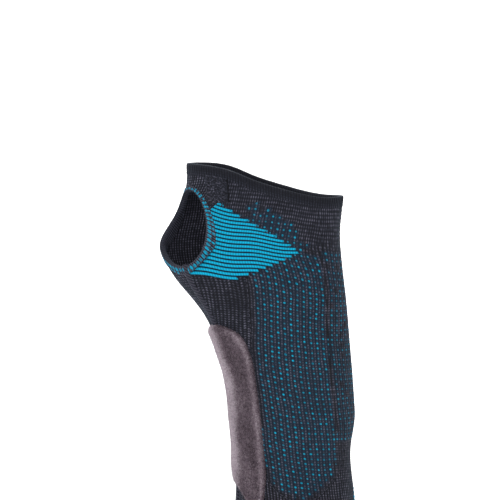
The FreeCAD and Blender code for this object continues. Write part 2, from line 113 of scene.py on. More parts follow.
def measure():
    """The sleeve's four reaches at each height, read off the frame's knit."""
    palm = np.array([hit((X0, -200, z), (0, 1, 0), lambda p: p.y < 5)[1] for z in HEIGHTS])
    back = np.array([hit((X0, 200, z), (0, -1, 0), lambda p: p.y > 10)[1] for z in HEIGHTS])
    bent = (HEIGHTS > 60) & (HEIGHTS < 165)
    radius = np.nanmedian(np.hypot(palm - PIVOT[1], HEIGHTS - PIVOT[2])[bent])
    palm, back = fill(palm), fill(back)
    over = HEIGHTS > PIVOT[2]
    palm[over] = PIVOT[1] - np.sqrt(radius ** 2 - (HEIGHTS[over] - PIVOT[2]) ** 2)
    middle, half = (palm + back) / 2, (back - palm) / 2
    little, thumb = [], []
    for z, c, b in zip(HEIGHTS, middle, half):
        little.append(hit((200, c, z), (-1, 0, 0), lambda p: p.x > X0 + 20)[0] - X0)
        # the ray passes behind the thumb opening, and nearer the middle above it
        lift = math.radians(50 if z < 185 else 12)
        side = hit((-200, c + b * math.sin(lift), z), (1, 0, 0), lambda p: p.x < X0 - 12)[0]
        thumb.append((X0 - side) / math.cos(lift))
    return fill(thumb), fill(little), middle, half


TABLES = measure()


def section(z):
    """Reach to the thumb side and the little-finger side, middle and half depth at a height."""
    return [np.interp(z, HEIGHTS, table) for table in TABLES]


def skin(t, z, grow=0.0):
    """Point of the sleeve's surface at turn t (0 little finger, -90 degrees palm) and height z."""
    thumb, little, centre, half = section(z)
    across = np.where(np.cos(t) > 0, little, thumb) + grow
    return np.stack([X0 + across * np.cos(t), centre + (half + grow) * np.sin(t), z + 0 * t], -1)


def inside(p):
    """Below zero inside the sleeve's surface, above zero outside."""
    thumb, little, centre, half = section(p[..., 2])
    across = np.where(p[..., 0] > X0, little, thumb)
    return ((p[..., 0] - X0) / across) ** 2 + ((p[..., 1] - centre) / half) ** 2 - 1


def outward(p):
    """Surface normal near a point."""
    return unit(np.stack([inside(p + shift) - inside(p - shift) for shift in np.eye(3) * 0.2], -1))


def pushed(base, height):
    return base + outward(base) * np.asarray(height)[..., None]


def meet(start, way, low, high):
    """Where lines from inside to outside cross the surface."""
    low, high = np.full(start.shape[:-1], float(low)), np.full(start.shape[:-1], float(high))
    for _ in range(30):
        middle = (low + high) / 2
        out = inside(start + way * middle[..., None]) > 0
        high = np.where(out, middle, high)
        low = np.where(out, low, middle)
    return start + way * low[..., None]


def run_along(points):
    """Distance along a line of points, from its start."""
    return np.concatenate([[0], np.cumsum(np.linalg.norm(np.diff(points, axis=0), axis=1))])


TURNS = np.linspace(-1.5 * np.pi, 0.5 * np.pi, 1441)
LONG_TURNS = np.concatenate([TURNS, TURNS[1:] + 2 * np.pi])
APEX = 720
ARCS = np.empty((len(HEIGHTS), len(TURNS)))
for row, height in enumerate(HEIGHTS):
    run = run_along(skin(TURNS, np.full(len(TURNS), height)))
    ARCS[row] = run - run[APEX]


def arcs_at(z):
    place = np.clip((z - HEIGHTS[0]) / 2.0, 0, len(HEIGHTS) - 1.001)
    row = int(place)
    return ARCS[row] * (1 - place + row) + ARCS[row + 1] * (place - row)


def turn_at(s, z):
    """Turn at distance s round the sleeve from the middle of the palm, row by row."""
    turn = np.empty(s.shape)
    for row in range(len(s)):
        arcs = arcs_at(z[row, 0])
        turn[row] = np.interp(s[row], np.concatenate([arcs, arcs[1:] + arcs[-1] - arcs[0]]), LONG_TURNS)
    return turn


def arc_of(t, z):
    arcs = [np.interp(a, TURNS, arcs_at(b)) for a, b in zip(np.ravel(t), np.ravel(z))]
    return np.array(arcs).reshape(np.shape(t))


def turn_of(x, z, face):
    """Turn of the point at side x, on the back (face 1) or the palm (face -1)."""
    thumb, little, _, _ = section(z)
    return face * np.arccos(np.clip(x / np.where(x > 0, little, thumb), -1, 1))


def smooth(x, low, high):
    part = np.clip((x - low) / (high - low), 0, 1)
    return part * part * (3 - 2 * part)


def ridge(x):
    return 0.5 + 0.5 * np.cos(2 * np.pi * x)


def circle(count, start=0.0):
    return np.linspace(start, start + 2 * np.pi, count, endpoint=False)


# rim, thumb opening and seam lines

def rim_height(turns):
    """Height of the welt's top edge at each turn, read off the edges of the frame's welt."""
    mesh = NODES["distal_welt"].data
    places = np.array([v.co[:] for v in mesh.vertices]) / MM
    ends = np.array([e.vertices[:] for e in mesh.edges])
    first, last = places[ends[:, 0]], places[ends[:, 1]]
    p = np.concatenate([first + (last - first) * part for part in np.linspace(0, 1, 30)])
    thumb, little, centre, half = section(p[:, 2])
    side = (p[:, 0] - X0) / np.where(p[:, 0] > X0, little, thumb)
    depth = (p[:, 1] - centre) / half
    outer = np.hypot(side, depth) > 0.965
    heights, found = p[outer, 2], np.arctan2(depth, side)[outer]
    best = []
    for turn in turns:
        near = np.abs((found - turn + np.pi) % (2 * np.pi) - np.pi) < 0.03
        best.append(heights[near].max() if near.any() else np.nan)
    best = np.array(best)
    return np.interp(turns, turns[~np.isnan(best)], best[~np.isnan(best)])


RIM_TURNS = np.linspace(-1.5 * np.pi, 0.5 * np.pi, 361)
rim = rim_height(RIM_TURNS)
rim = np.convolve(np.pad(rim[:-1], 4, mode="wrap"), np.ones(9) / 9, mode="valid")
RIM = np.append(rim, rim[0])


def rim_at(t):
    return np.interp((t + 1.5 * np.pi) % (2 * np.pi) - 1.5 * np.pi, RIM_TURNS, RIM)


opening = entry(RECORD["mounts"], "thumb_opening")
HOLE_OUT = unit(np.array(opening["axis"]))
HOLE_UP = unit(np.array([0, 0, 1.0]) - HOLE_OUT * HOLE_OUT[2])
HOLE_SIDE = np.cross(HOLE_UP, HOLE_OUT)
HOLE_AT = np.array(opening["pos_m"]) / MM
HOLE_A, HOLE_B, HOLE_SLIM = 12.6, 18.2, 0.73


def hole_reach(p, extra):
    """Below one inside the thumb opening, grown by extra."""
    d = p - HOLE_AT
    u, w, out = d @ HOLE_SIDE, d @ HOLE_UP, d @ HOLE_OUT
    reach = np.sqrt((u / (HOLE_A + extra)) ** 2 + (w / (HOLE_B + extra * HOLE_SLIM)) ** 2)
    return np.where(out > -15, reach, 9.0)


def seam_rise(node, z):
    _, _, centre, half = section(z)
    return np.arcsin(np.clip((box(node)[:, 1].mean() - centre) / half, -1, 1))


def radial_turn(z):
    return -np.pi - seam_rise("radial_seam", z)


def ulnar_turn(z):
    return seam_rise("ulnar_seam", z)


WEB_X, WEB_LOW = -26.0, 179.0


def palm_start(z):
    """Turn where the palm panel begins: the radial seam, or the web overlap above the thumb."""
    return np.where(z > WEB_LOW, turn_of(WEB_X, z, -1), radial_turn(z))


# ---- meshes

def add_object(name, data):
    thing = bpy.data.objects.new(name, data)
    bpy.context.scene.collection.objects.link(thing)
    return thing


def declare(thing, material, body, node):
    thing.data.materials.append(material)
    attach(thing, body)
    if node:
        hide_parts(node)


def coordinates(mesh):
    values = np.empty(len(mesh.vertices) * 3, np.float32)
    mesh.vertices.foreach_get("co", values)
    return values.reshape(-1, 3)


def piece(name, points, faces, material, slot, body="sleeve", node=None, uv=None, **fields):
    """Mesh object from millimetre points and quads, with per-point fields."""
    points = points.reshape(-1, 3)
    used, faces = np.unique(faces, return_inverse=True)
    faces = faces.reshape(-1, 4)
    mesh = bpy.data.meshes.new(name)
    mesh.from_pydata((points[used] * MM).astype(np.float32), [], faces, shade_flat=False)
    if uv is not None:
        layer = mesh.uv_layers.new(name="knit")
        uv = uv.reshape(-1, 2)[used][faces.ravel()]
        layer.data.foreach_set("uv", uv.astype(np.float32).ravel())
    for field, values in fields.items():
        layer = mesh.attributes.new(field, "FLOAT", "POINT")
        layer.data.foreach_set("value", np.ravel(values)[used].astype(np.float32))
    mesh.validate()
    thing = add_object(name, mesh)
    declare(thing, material, body, node)
    return thing


def quads(rows, columns, wrap_rows=False, wrap_columns=False, start=0):
    i = np.arange(rows if wrap_rows else rows - 1)
    j = np.arange(columns if wrap_columns else columns - 1)
    i, j = np.meshgrid(i, j, indexing="ij")
    above, right = (i + 1) % rows, (j + 1) % columns
    corners = [i * columns + j, i * columns + right, above * columns + right, above * columns + j]
    return start + np.stack(corners, -1).reshape(-1, 4)


def joined(parts):
    """Several (points, faces, fields) as one set of arguments for piece."""
    points, faces, fields, count = [], [], {}, 0
    for p, f, extra in parts:
        points.append(p.reshape(-1, 3))
        faces.append(f + count)
        count += len(points[-1])
        for key, value in extra.items():
            fields.setdefault(key, []).append(value.reshape(-1, 2) if key == "uv" else np.ravel(value))
    fields = {key: np.concatenate(values) for key, values in fields.items()}
    return dict(points=np.concatenate(points), faces=np.concatenate(faces), **fields)


def sweep(name, profile, line, material, slot, node, closed=True, flip=1):
    """Strip or ring: line(across, grow) gives the points, uv and fields along one profile point."""
    rows = [line(*point) for point in profile]
    fields = {key: np.stack([row[key] for row in rows]) for key in rows[0]}
    faces = quads(len(profile), fields["points"].shape[1], True, closed)[:, ::flip]
    return piece(name, faces=faces, material=material, slot=slot, node=node, **fields)


def slab(first, second, fields, flip=1):
    """Two grids of points closed into one sheet by a wall round their border."""
    rows, columns = first.shape[:2]
    count = rows * columns
    grid = quads(rows, columns)
    number = np.arange(count).reshape(rows, columns)
    border = np.concatenate([number[0], number[1:, -1], number[-1, -2::-1], number[-2:0:-1, 0]])
    after = np.roll(border, -1)
    wall = np.stack([border, border + count, after + count, after], -1)
    sheet = joined([(first, grid, fields), (second, grid[:, ::-1], fields)])
    sheet["faces"] = np.concatenate([sheet["faces"], wall])[:, ::flip]
    return sheet


# ---- materials

class Value:
    """Output of a shader node that can be added, taken away, multiplied and divided."""

    def __init__(self, n, socket):
        self.n, self.socket = n, socket

    __add__ = lambda self, other: self.n.math("ADD", self, other)
    __sub__ = lambda self, other: self.n.math("SUBTRACT", self, other)
    __rsub__ = lambda self, other: self.n.math("SUBTRACT", other, self)
    __mul__ = lambda self, other: self.n.math("MULTIPLY", self, other)
    __truediv__ = lambda self, other: self.n.math("DIVIDE", self, other)

    def fit(self, factor, shift):
        return self.n.math("MULTIPLY_ADD", self, factor, shift)

    def top(self, other):
        return self.n.math("MAXIMUM", self, other)

    def clamp(self):
        return self.n.math("MINIMUM", self.top(0.0), 1.0)

    def ridge(self, pitch):
        """0 in the grooves, 1 on the crowns."""
        return self.n.math("COSINE", self.fit(2 * math.pi / pitch, 0.0)).fit(0.5, 0.5)

    def nearest(self, pitch):
        return self.n.math("ROUND", self / pitch)

    def off(self, pitch):
        """Distance from the nearest multiple of the pitch."""
        return (self / pitch - self.nearest(pitch)) * pitch


class Nodes:
    """One material's nodes."""

    def __init__(self, name):
        self.material = bpy.data.materials.new(name)
        self.material.use_nodes = True
        self.tree = self.material.node_tree
        self.shader = self.tree.nodes["Principled BSDF"]

    def wire(self, value, socket):
        if isinstance(value, Value):
            self.tree.links.new(value.socket, socket)
        else:
            socket.default_value = value

    def new(self, kind, **inputs):
        node = self.tree.nodes.new("ShaderNode" + kind)
        for key, value in inputs.items():
            self.wire(value, node.inputs[key])
        return node

    def out(self, node, key=0):
        return Value(self, node.outputs[key])

    def math(self, operation, *values):
        node = self.new("Math")
        node.operation = operation
        for value, socket in zip(values, node.inputs):
            self.wire(value, socket)
        return self.out(node)

    def field(self, name):
        node = self.new("Attribute")
        node.attribute_name = name
        return self.out(node, "Fac")

    def uv(self):
        node = self.new("UVMap")
        node.uv_map = "knit"
        parts = self.new("SeparateXYZ", Vector=self.out(node))
        return self.out(parts, 0), self.out(parts, 1)

    def chance(self, c, across, r, along):
        """One random value for each stitch."""
        cell = self.new("CombineXYZ", X=c.nearest(across), Y=r.nearest(along))
        node = self.new("TexWhiteNoise")
        node.noise_dimensions = "2D"
        self.wire(self.out(cell), node.inputs["Vector"])
        return self.out(node, "Value")

    def noise(self, scale, detail=3.0, rough=0.55, stretch=None):
        vector = self.out(self.new("TexCoord"), "Object")
        if stretch:
            vector = self.out(self.new("Mapping", Vector=vector, Scale=stretch))
        node = self.new("TexNoise", Vector=vector, Scale=scale, Detail=detail, Roughness=rough)
        return self.out(node, "Fac")

    def ramp(self, value, *stops):
        node = self.new("ValToRGB", Fac=value)
        elements = node.color_ramp.elements
        while len(elements) < len(stops):
            elements.new(0.5)
        for element, (at, colour) in zip(elements, stops):
            element.position = at
            element.color = (*np.broadcast_to(colour, 3), 1)
        return self.out(node)

    def mix(self, factor, first, second, blend="MIX"):
        node = self.new("Mix")
        node.data_type = "RGBA"
        node.blend_type = blend
        self.wire(factor, node.inputs[0])
        for value, socket in ((first, node.inputs[6]), (second, node.inputs[7])):
            self.wire((*value, 1) if isinstance(value, tuple) else value, socket)
        return self.out(node, 2)

    def bump(self, height, strength, distance):
        node = self.new("Bump", Height=height, Strength=strength, Distance=distance)
        self.wire(self.out(node), self.shader.inputs["Normal"])

    def set(self, **values):
        for key, value in values.items():
            self.wire(value, self.shader.inputs[key.replace("_", " ")])
        return self.material


def srgb(*channels):
    parts = [c / 255 for c in channels]
    return tuple(c / 12.92 if c <= 0.04045 else ((c + 0.055) / 1.055) ** 2.4 for c in parts)


def toned(colour, factor):
    return tuple(c * factor for c in colour)


# painted shade for the knit's grooves, the yarn's own colour, and painted highlight for its crowns
GROOVE_SHADE, YARN, CROWN_HIGHLIGHT = srgb(8, 8, 12), srgb(41, 43, 54), srgb(108, 107, 124)
# bright teal, and a deeper teal painted into the grooves of teal knit as shade
TEAL, TEAL_SHADE = srgb(2, 180, 222), srgb(0, 80, 106)


def yarn(n, level, tone, mottle, fluff, cloud):
    """Yarn coloured by its height in the knit: painted shade in the grooves and painted highlight on the crowns, with
    a little fluff and slow changes.
    """
    base = n.ramp(level, (0.0, GROOVE_SHADE), (0.46, toned(YARN, tone)), (1.0, toned(CROWN_HIGHLIGHT, tone)))
    base = n.mix(mottle * fluff, base, toned(YARN, 0.5))
    slow = n.ramp(cloud, (0.3, (0.6, 0.6, 0.64)), (0.7, (1.2, 1.2, 1.15)))
    return n.mix(0.4, base, slow, "MULTIPLY")


def finish_knit(n, base, level, mottle):
    fuzz = n.noise(2600, 2) * 0.5 + mottle * 0.6
    n.bump(fuzz + level * 1.2, 0.6, 0.00025)
    return n.set(Base_Color=base, Roughness=n.ramp(mottle, (0.2, 0.72), (0.8, 0.92)), Sheen_Weight=0.16,
                 Sheen_Roughness=0.4, Sheen_Tint=(*srgb(150, 176, 204), 1), Specular_IOR_Level=0.18)


PANEL_FIELDS = ("field", "plain", "waffle", "dots", "wedge", "q", "dark")


def field_knit_material(name, tone=1.0):
    """Knit of the panels: field, ribs and waffle, with teal stripes and dots where the fields say."""
    n = Nodes(name)
    c, r = n.uv()
    mottle, cloud = n.noise(1100, 2), n.noise(60, 3)
    field, plain, waffle, dots, wedge, q, dark = (n.field(key) for key in PANEL_FIELDS)
    rest = 1.0 - n.math("MINIMUM", field + plain + waffle, 1.0)
    leg = n.math("PINGPONG", c, COLUMN / 4)
    courses = n.math("MULTIPLY_ADD", leg, 0.75, r).ridge(COURSE / 2)
    field_level = c.ridge(COLUMN / 2).fit(0.75, 0.25) * courses.fit(0.5, 0.42)
    field_level = field_level * (c + 0.7).ridge(COLUMN).fit(-0.45, 1.05)
    plain_level = c.ridge(RIB).fit(0.7, 0.3) * leg.fit(0.5, r).ridge(SMALL_RIB).fit(0.7, 0.2)
    plain_level = plain_level * n.chance(c, RIB, r, 9.0).fit(0.5, 0.65)
    waffle_level = c.ridge(SMALL_RIB).fit(0.8, 0.2) * r.ridge(WAFFLE).fit(0.45, 0.4)
    rest_level = c.ridge(FINE_RIB) * r.ridge(LOOP).fit(0.5, 0.4)
    # colour level from the knit's height, fed to yarn: painted shade in the grooves, painted highlight on the crowns
    level = field * field_level + plain * plain_level + waffle * waffle_level + rest * rest_level
    level = level * n.chance(c, COLUMN / 2, r, COURSE / 2).fit(0.55, 0.68)
    # painted shade along the stitch groove, the crease and beside the thumb band
    level = level * (1.0 - dark)
    base = n.mix(dots * 0.16, yarn(n, level, tone, mottle, 0.4, cloud), srgb(14, 64, 92))
    # teal stripes and dots; the stripes' grooves take the deeper teal as painted shade, varied by mottle
    crown = q.ridge(STRIPE)
    stripe = crown.fit(5.0, -0.65).clamp() * wedge
    bead = c.ridge(1.35).fit(0.45, 0.55) * crown.fit(0.75, 0.35)
    across = c.off(COLUMN)
    along = across.fit(0.08, r.off(COURSE) * 1.2)
    away = n.math("SQRT", across * across + along * along)
    chance = n.chance(c, COLUMN, r, COURSE)
    dot = away.fit(-2.9, chance.fit(0.6, 1.66)).clamp() * dots * chance.fit(0.4, 0.6)
    teal = stripe.top(dot)
    blue = n.mix(bead * mottle.fit(-0.4, 1.1), TEAL_SHADE, TEAL)
    base = n.mix(teal, n.mix(wedge, base, srgb(4, 26, 36)), blue)
    return finish_knit(n, base, level.top(teal), mottle)


def band_knit_material(name, tone):
    """Knit of the bands, seams and linings, with teal where the fields say; the relief field gives painted shade in
    the grooves and painted highlight on the crowns.
    """
    n = Nodes(name)
    relief = n.field("relief")
    mottle, cloud = n.noise(1100, 2), n.noise(70, 3)
    # deeper teal where the relief is low: painted shade, varied by mottle
    blue = n.mix(relief.fit(0.6, 0.4) * mottle.fit(-0.4, 1.15), TEAL_SHADE, TEAL)
    base = n.mix(n.field("wedge").top(n.field("fleck")), yarn(n, relief, tone, mottle, 0.45, cloud), blue)
    return finish_knit(n, base, relief, mottle)


KNIT = field_knit_material("palm_knit")
BACK_KNIT = field_knit_material("back_knit", 1.1)
RIB_KNIT = band_knit_material("rib_knit", 0.95)
SEAM_KNIT = band_knit_material("seam_knit", 0.62)
LINING_KNIT = band_knit_material("lining_knit", 1.4)
THREAD = band_knit_material("stitch_thread", 0.8)


def velour_material():
    n = Nodes("brushed_velour")
    cloud, fine = n.noise(190, 4, 0.65), n.noise(1300, 3, 0.7)
    grain = n.noise(1000, 2, 0.8).fit(2.4, -0.7)
    streak = n.noise(60, 3, 0.5, stretch=(3.0, 3.0, 0.35))
    # tone carries the patch's painted sheen highlight and painted rim shade; cloud, grain and streak add random
    # variation
    tone = n.field("tone") * 0.62 + (cloud * 0.40 + grain * 0.42) + streak.fit(0.25, -0.1)
    colour = n.ramp(tone * 0.8, (0.22, srgb(44, 36, 42)), (0.44, srgb(84, 73, 81)),
                    (0.62, srgb(116, 104, 112)), (1.0, srgb(184, 173, 181)))
    n.bump(fine + cloud * 0.7, 0.6, 0.0004)
    return n.set(Base_Color=colour, Roughness=n.ramp(cloud, (0.3, 0.85), (0.7, 0.98)), Sheen_Weight=0.55,
                 Sheen_Roughness=0.35, Sheen_Tint=(*srgb(224, 210, 220), 1), Specular_IOR_Level=0.12)


def metal_material(name, colour, rough, stretch):
    n = Nodes(name)
    grain, wear = n.noise(900, 3, 0.6, stretch=stretch), n.noise(120, 4, 0.6)
    base = n.mix(grain * 0.5, colour, toned(colour, 0.72))
    base = n.mix(wear * 0.3, base, toned(colour, 0.6))
    n.bump(grain, 0.25, 0.00008)
    shade = n.ramp(grain * 0.5 + wear * 0.5, (0.3, rough - 0.08), (0.7, rough + 0.14))
    return n.set(Base_Color=base, Roughness=shade, Metallic=1.0)


def plastic_material(name, colour, rough, **extra):
    n = Nodes(name)
    cloud = n.noise(260, 4)
    base = n.mix(cloud * 0.5, colour, toned(colour, 0.6))
    n.bump(n.noise(2400, 2) + cloud * 0.4, 0.25, 0.0001)
    shade = n.ramp(cloud, (0.3, rough - 0.1), (0.7, rough + 0.12))
    return n.set(Base_Color=base, Roughness=shade, **extra)


def label_material():
    n = Nodes("label_tape")
    c, r = n.uv()
    weave = n.math("SINE", c * 18.0) * n.math("SINE", r * 18.0)
    base = n.mix(n.noise(400, 3) * 0.4, srgb(228, 228, 224), srgb(196, 196, 192))
    n.bump(weave, 0.4, 0.00015)
    return n.set(Base_Color=base, Roughness=n.ramp(n.noise(500, 2), (0.3, 0.42), (0.7, 0.6)),
                 Sheen_Weight=0.3, Sheen_Roughness=0.3)


VELOUR = velour_material()
ALUMINIUM = metal_material("stay_aluminium", srgb(196, 199, 204), 0.34, (0.3, 0.3, 6.0))
STEEL = metal_material("spring_steel", srgb(150, 152, 156), 0.28, (2.0, 2.0, 0.4))
CAP = plastic_material("dipped_cap", srgb(34, 35, 39), 0.42)
SILICONE = plastic_material("clear_silicone", srgb(170, 178, 186), 0.3, Transmission_Weight=0.35, IOR=1.41)
LABEL = label_material()


# ---- palm and back panels

DRIFT_HEIGHTS = [0, 60, 80, 93, 102, 110, 126, 133, 136, 140, 143, 147, 151, 156, 215]
DRIFT_SLOPES = [0.035, 0.06, 0.045, 0.0, -0.05, -0.083, 0.015, 0.114, 0.153, 0.24, 0.28, 0.08, -0.16, -0.27]


def drift(z, s):
    """How far the wales have drifted to the thumb side at a height."""
    total = np.concatenate([[0], np.cumsum(np.diff(DRIFT_HEIGHTS) * DRIFT_SLOPES)])
    at, start, level = (np.interp(height, DRIFT_HEIGHTS, total) for height in (z, 130, 111))
    ease = 1 - 0.75 * smooth(s, 18, 36)
    return np.where(z > 130, start + (at - start) * ease, at) - level + 0.3


ROW_SIDES = [-70, -25, -12, 0, 8, 16, 25, 35, 75]
ROW_SLOPES = (
    (60, [0.20, 0.35, 0.36, 0.28, 0.20, 0.13, 0.08, 0.04, 0.0]),
    (95, [0.15, 0.25, 0.30, 0.28, 0.24, 0.20, 0.14, 0.06, 0.0]),
    (130, [0.10, 0.15, 0.24, 0.28, 0.30, 0.28, 0.20, 0.08, 0.0]),
    (172, [0.0, 0.06, 0.12, 0.18, 0.22, 0.20, 0.12, 0.06, 0.0]),
)


def course(s, z):
    """Row coordinate of the knit: courses sag towards the little finger."""
    levels, falls = [], []
    for level, slopes in ROW_SLOPES:
        runs = np.diff(ROW_SIDES) * (np.array(slopes[1:]) + slopes[:-1]) / 2
        total = np.concatenate([[0], np.cumsum(runs)])
        levels.append(level)
        falls.append(np.interp(s, ROW_SIDES, total) - np.interp(16, ROW_SIDES, total))
    fall = falls[0]
    for number in range(1, len(levels)):
        fall = fall + (falls[number] - falls[number - 1]) * smooth(z, levels[number - 1], levels[number])
    return z - 0.15 * np.clip(z - 127, 0, None) + fall


def within(x, z, outline):
    """True inside a closed outline of (side, height) points."""
    result = np.zeros(np.shape(x), bool)
    for (x1, z1), (x2, z2) in zip(outline, outline[1:] + outline[:1]):
        if z1 != z2:
            at = x1 + (z - z1) * (x2 - x1) / (z2 - z1)
            result ^= ((z1 > z) != (z2 > z)) & (x < at)
    return result


def path_distance(x, z, path):
    """Distance to an open path."""
    best = np.full(np.shape(x), 1e9)
    for (x1, z1), (x2, z2) in zip(path, path[1:]):
        run, rise = x2 - x1, z2 - z1
        part = np.clip(((x - x1) * run + (z - z1) * rise) / (run * run + rise * rise), 0, 1)
        best = np.minimum(best, np.hypot(x - x1 - part * run, z - z1 - part * rise))
    return best


WEDGE = [(-60, 190), (-28.5, 180.6), (-22.7, 176.0), (-10.3, 167.2), (2.1, 158.9), (14.4, 149.6),
         (3.6, 145.2), (-9.8, 141.1), (-22.0, 137.9), (-39.9, 141.9), (-60, 146)]
DOTS = [(-12.4, 150), (-12.4, 44), (-10.5, 36), (-6, 28.5), (0, 24.5), (6, 22.5), (12, 24), (18, 29),
        (22.5, 35), (25.6, 44), (25.6, 146), (19, 147), (21, 151), (15.6, 155), (12.8, 158), (13.6, 161.5),
        (10.8, 165.3), (5.2, 170), (-0.4, 173.6), (-6.5, 177), (-12, 177)]
POCKET = [(-14.4, 138), (-14.4, 44), (-12.3, 35), (-8, 27.5), (-1, 22.5), (6, 20.8), (13.4, 22.5),
          (20.5, 28), (26.5, 35.5), (29.3, 46), (29.3, 60)]
END_WEDGE_AT = arc_of(ulnar_turn(np.full(1, 20.0)), np.full(1, 20.0))[0]
CREASE_AT = 26.6


def stripe_middle(q, z):
    """Height of the middle of the stripe a point lies on, so that each stripe ends whole."""
    return z + (np.round(q / STRIPE) * STRIPE - q)


def stepped(x):
    return np.round(x / STITCH) * STITCH


def end_wedge(s, z):
    """Stripe coordinate and reach of the teal wedge over the little-finger seam at the forearm end."""
    q = z + 0.06 * s
    return q, np.abs(stepped(s) - END_WEDGE_AT) < 28.5 * (1 - stripe_middle(q, z) / 46.0)


def palm_pattern(s, z, base):
    """Relief in millimetres, knit coordinates and colour fields of the palm panel."""
    wobble = 0.16 * np.sin(z / 6.1 + s / 9.0) + 0.10 * np.sin(z / 2.9 - s / 3.7)
    c = s + drift(z, s) + wobble - 0.65 * COLUMN * smooth(s, 26.2, 27.4)
    r = course(s, z) + 0.14 * np.sin(s / 4.3 + z / 8.0) + 0.08 * np.sin(s / 1.9 - z / 5.0)
    x = base[..., 0] - X0
    # which knit lies where
    main = within(x, z, POCKET + [(29.3, 148), (16, 152), (4, 148)]).astype(float)
    side = smooth(s, 25.6, 27.2) * smooth(z, 49, 51.5) * (1 - smooth(z, 146, 156))
    field = np.maximum(main, side)
    above = np.interp(x, [-60, -28.5, -10.3, 14.4, 30, 60], [192, 180.6, 167.2, 149.6, 153, 156])
    waffle = smooth(z - above, -1.0, 2.5) * (1 - field)
    cluster = within(x, z, DOTS) & (z > above)
    waffle = np.where(cluster, 0.35 * waffle, waffle)
    field = np.where(cluster, 0.65, field)
    plain = (1 - smooth(x, -14.6, -13.6)) * smooth(z, 96, 104) * (1 - waffle) * (1 - field)
    rest = np.clip(1 - field - plain - waffle, 0, 1)
    height = (
        field * 0.34 * ridge(c / (COLUMN / 2)) ** 0.8 * (0.55 + 0.45 * ridge(r / (COURSE / 2)))
        + plain * 0.46 * ridge(c / RIB) ** 0.7
        + waffle * 0.30 * (0.35 + 0.65 * ridge(c / SMALL_RIB)) * (0.4 + 0.6 * ridge(r / WAFFLE))
        + rest * 0.26 * ridge(c / FINE_RIB) ** 0.9 * (0.6 + 0.4 * ridge(r / LOOP))
    )
    # teal stripes
    lean = np.interp(z, [105, 140, 160, 180, 200], [0.0, 0.17, 0.25, 0.42, 0.46])
    q = z + lean * (s + 31) + 0.5 * np.sin((s + 30) / 4.5)
    clear = hole_reach(base, 2.2) > 1
    wedge = within(stepped(x), stripe_middle(q, z), WEDGE) & (x < 16) & clear
    q_end, end = end_wedge(s, z)
    q = np.where(z < 60, q_end, q)
    teal = wedge | end
    height = np.where(teal, 0.44 * ridge(q / STRIPE) ** 0.55 * (0.84 + 0.16 * ridge(c / LOOP)), height)
    # dots, each whole or absent
    column, rows = np.round(c / COLUMN), np.round(r / COURSE)
    off_side, off_height = column * COLUMN - c, rows * COURSE - r
    x_dot, s_dot, z_dot = x + off_side, s + off_side, z + off_height
    dots = within(x_dot, z_dot, DOTS) & ~within(x_dot, z_dot, WEDGE) & (s < 26.4)
    thin = (np.sin(column * 12.9898 + rows * 78.233) * 43758.5453) % 1
    over = z_dot > np.interp(x_dot, [-28.5, -10.3, 14.4, 20], [181, 168, 150, 145])
    dots &= ~(over & (thin > 0.85))
    little = (s_dot > 27.5) & (s > 26.9) & (z_dot > 50.5) & (z_dot < 150 - 0.2 * (s_dot - 27)) & (thin < 0.93)
    fade = np.where(little, 0.66, 1 - 0.3 * smooth(-x, 2, 13))
    dots = (dots | little) * fade * ~teal * clear
    height = height + dots * 0.14 * (1 - smooth(np.hypot(off_side, off_height), 0.2, 0.8))
    # the pocket's line of stitches and the crease beside the little-finger channel; painted shade darkens both, and
    # the knit just outside the thumb band
    line = path_distance(x, z, POCKET)
    groove = np.exp(-(line / 0.5) ** 2) * ~teal
    crease = np.exp(-((s - CREASE_AT) / 0.55) ** 2) * smooth(z, 47, 50) * (1 - smooth(z, 150, 160))
    height = height + 0.2 * smooth(line, 0.2, 1.2) * main * ~teal - 0.16 * groove - 0.06 * crease
    # painted shade in the stitch groove, the crease and the knit next to the thumb band
    dark = np.clip(0.45 * groove + 0.10 * crease + 0.35 * ~clear, 0, 1)
    return height, c, r, dict(field=field, plain=plain, waffle=waffle, wedge=teal, q=q, dots=dots, dark=dark)


def back_pattern(s, z, base):
    q, teal = end_wedge(s, z)
    height = 0.20 * ridge(s / 1.35) ** 0.8 * (0.66 + 0.34 * ridge(z / LOOP))
    height = np.where(teal, 0.40 * ridge(q / STRIPE) ** 0.55, height)
    return height, s, z, dict(dict.fromkeys(PANEL_FIELDS, np.zeros(s.shape)), wedge=teal, q=q)


def lining_pattern(s, z, base):
    return 0.12 * ridge(s / RIB), s, z, dict.fromkeys(PANEL_FIELDS, np.zeros(s.shape))


SEAM_MARGIN, UNDER_WELT, UNDER_HEM, UNDER_BAND = 0.012, 4.2, 1.2, 1.1
PANEL_LOW = HEM_TOP - 1.5
FACE_STEP = 0.45
INNER = -1.95


def panel(name, outer, inner, start, stop, material, slot, node):
    """Knit of two faces between two seam lines; each face is (s, z, pattern, growth)."""
    parts = []
    for (s, z, pattern, grow), flip in ((outer, 1), (inner, -1)):
        t = turn_at(s, z)
        base = skin(t, z, grow)
        height, c, r, fields = pattern(s, z, base)
        points = pushed(base, height)
        good = (
            (t > start(z[:, :1]) - SEAM_MARGIN) & (t < stop(z[:, :1]) + SEAM_MARGIN)
            & (z < rim_at(t) - UNDER_WELT) & (z > HEM_TOP - UNDER_HEM) & (hole_reach(points, UNDER_BAND) > 1)
        )
        faces = quads(*s.shape)
        faces = faces[good.ravel()[faces].all(axis=1)][:, ::flip]
        parts.append((points, faces, dict(fields, uv=np.stack([c, r], -1))))
    return piece(name, material=material, slot=slot, node=node, **joined(parts))


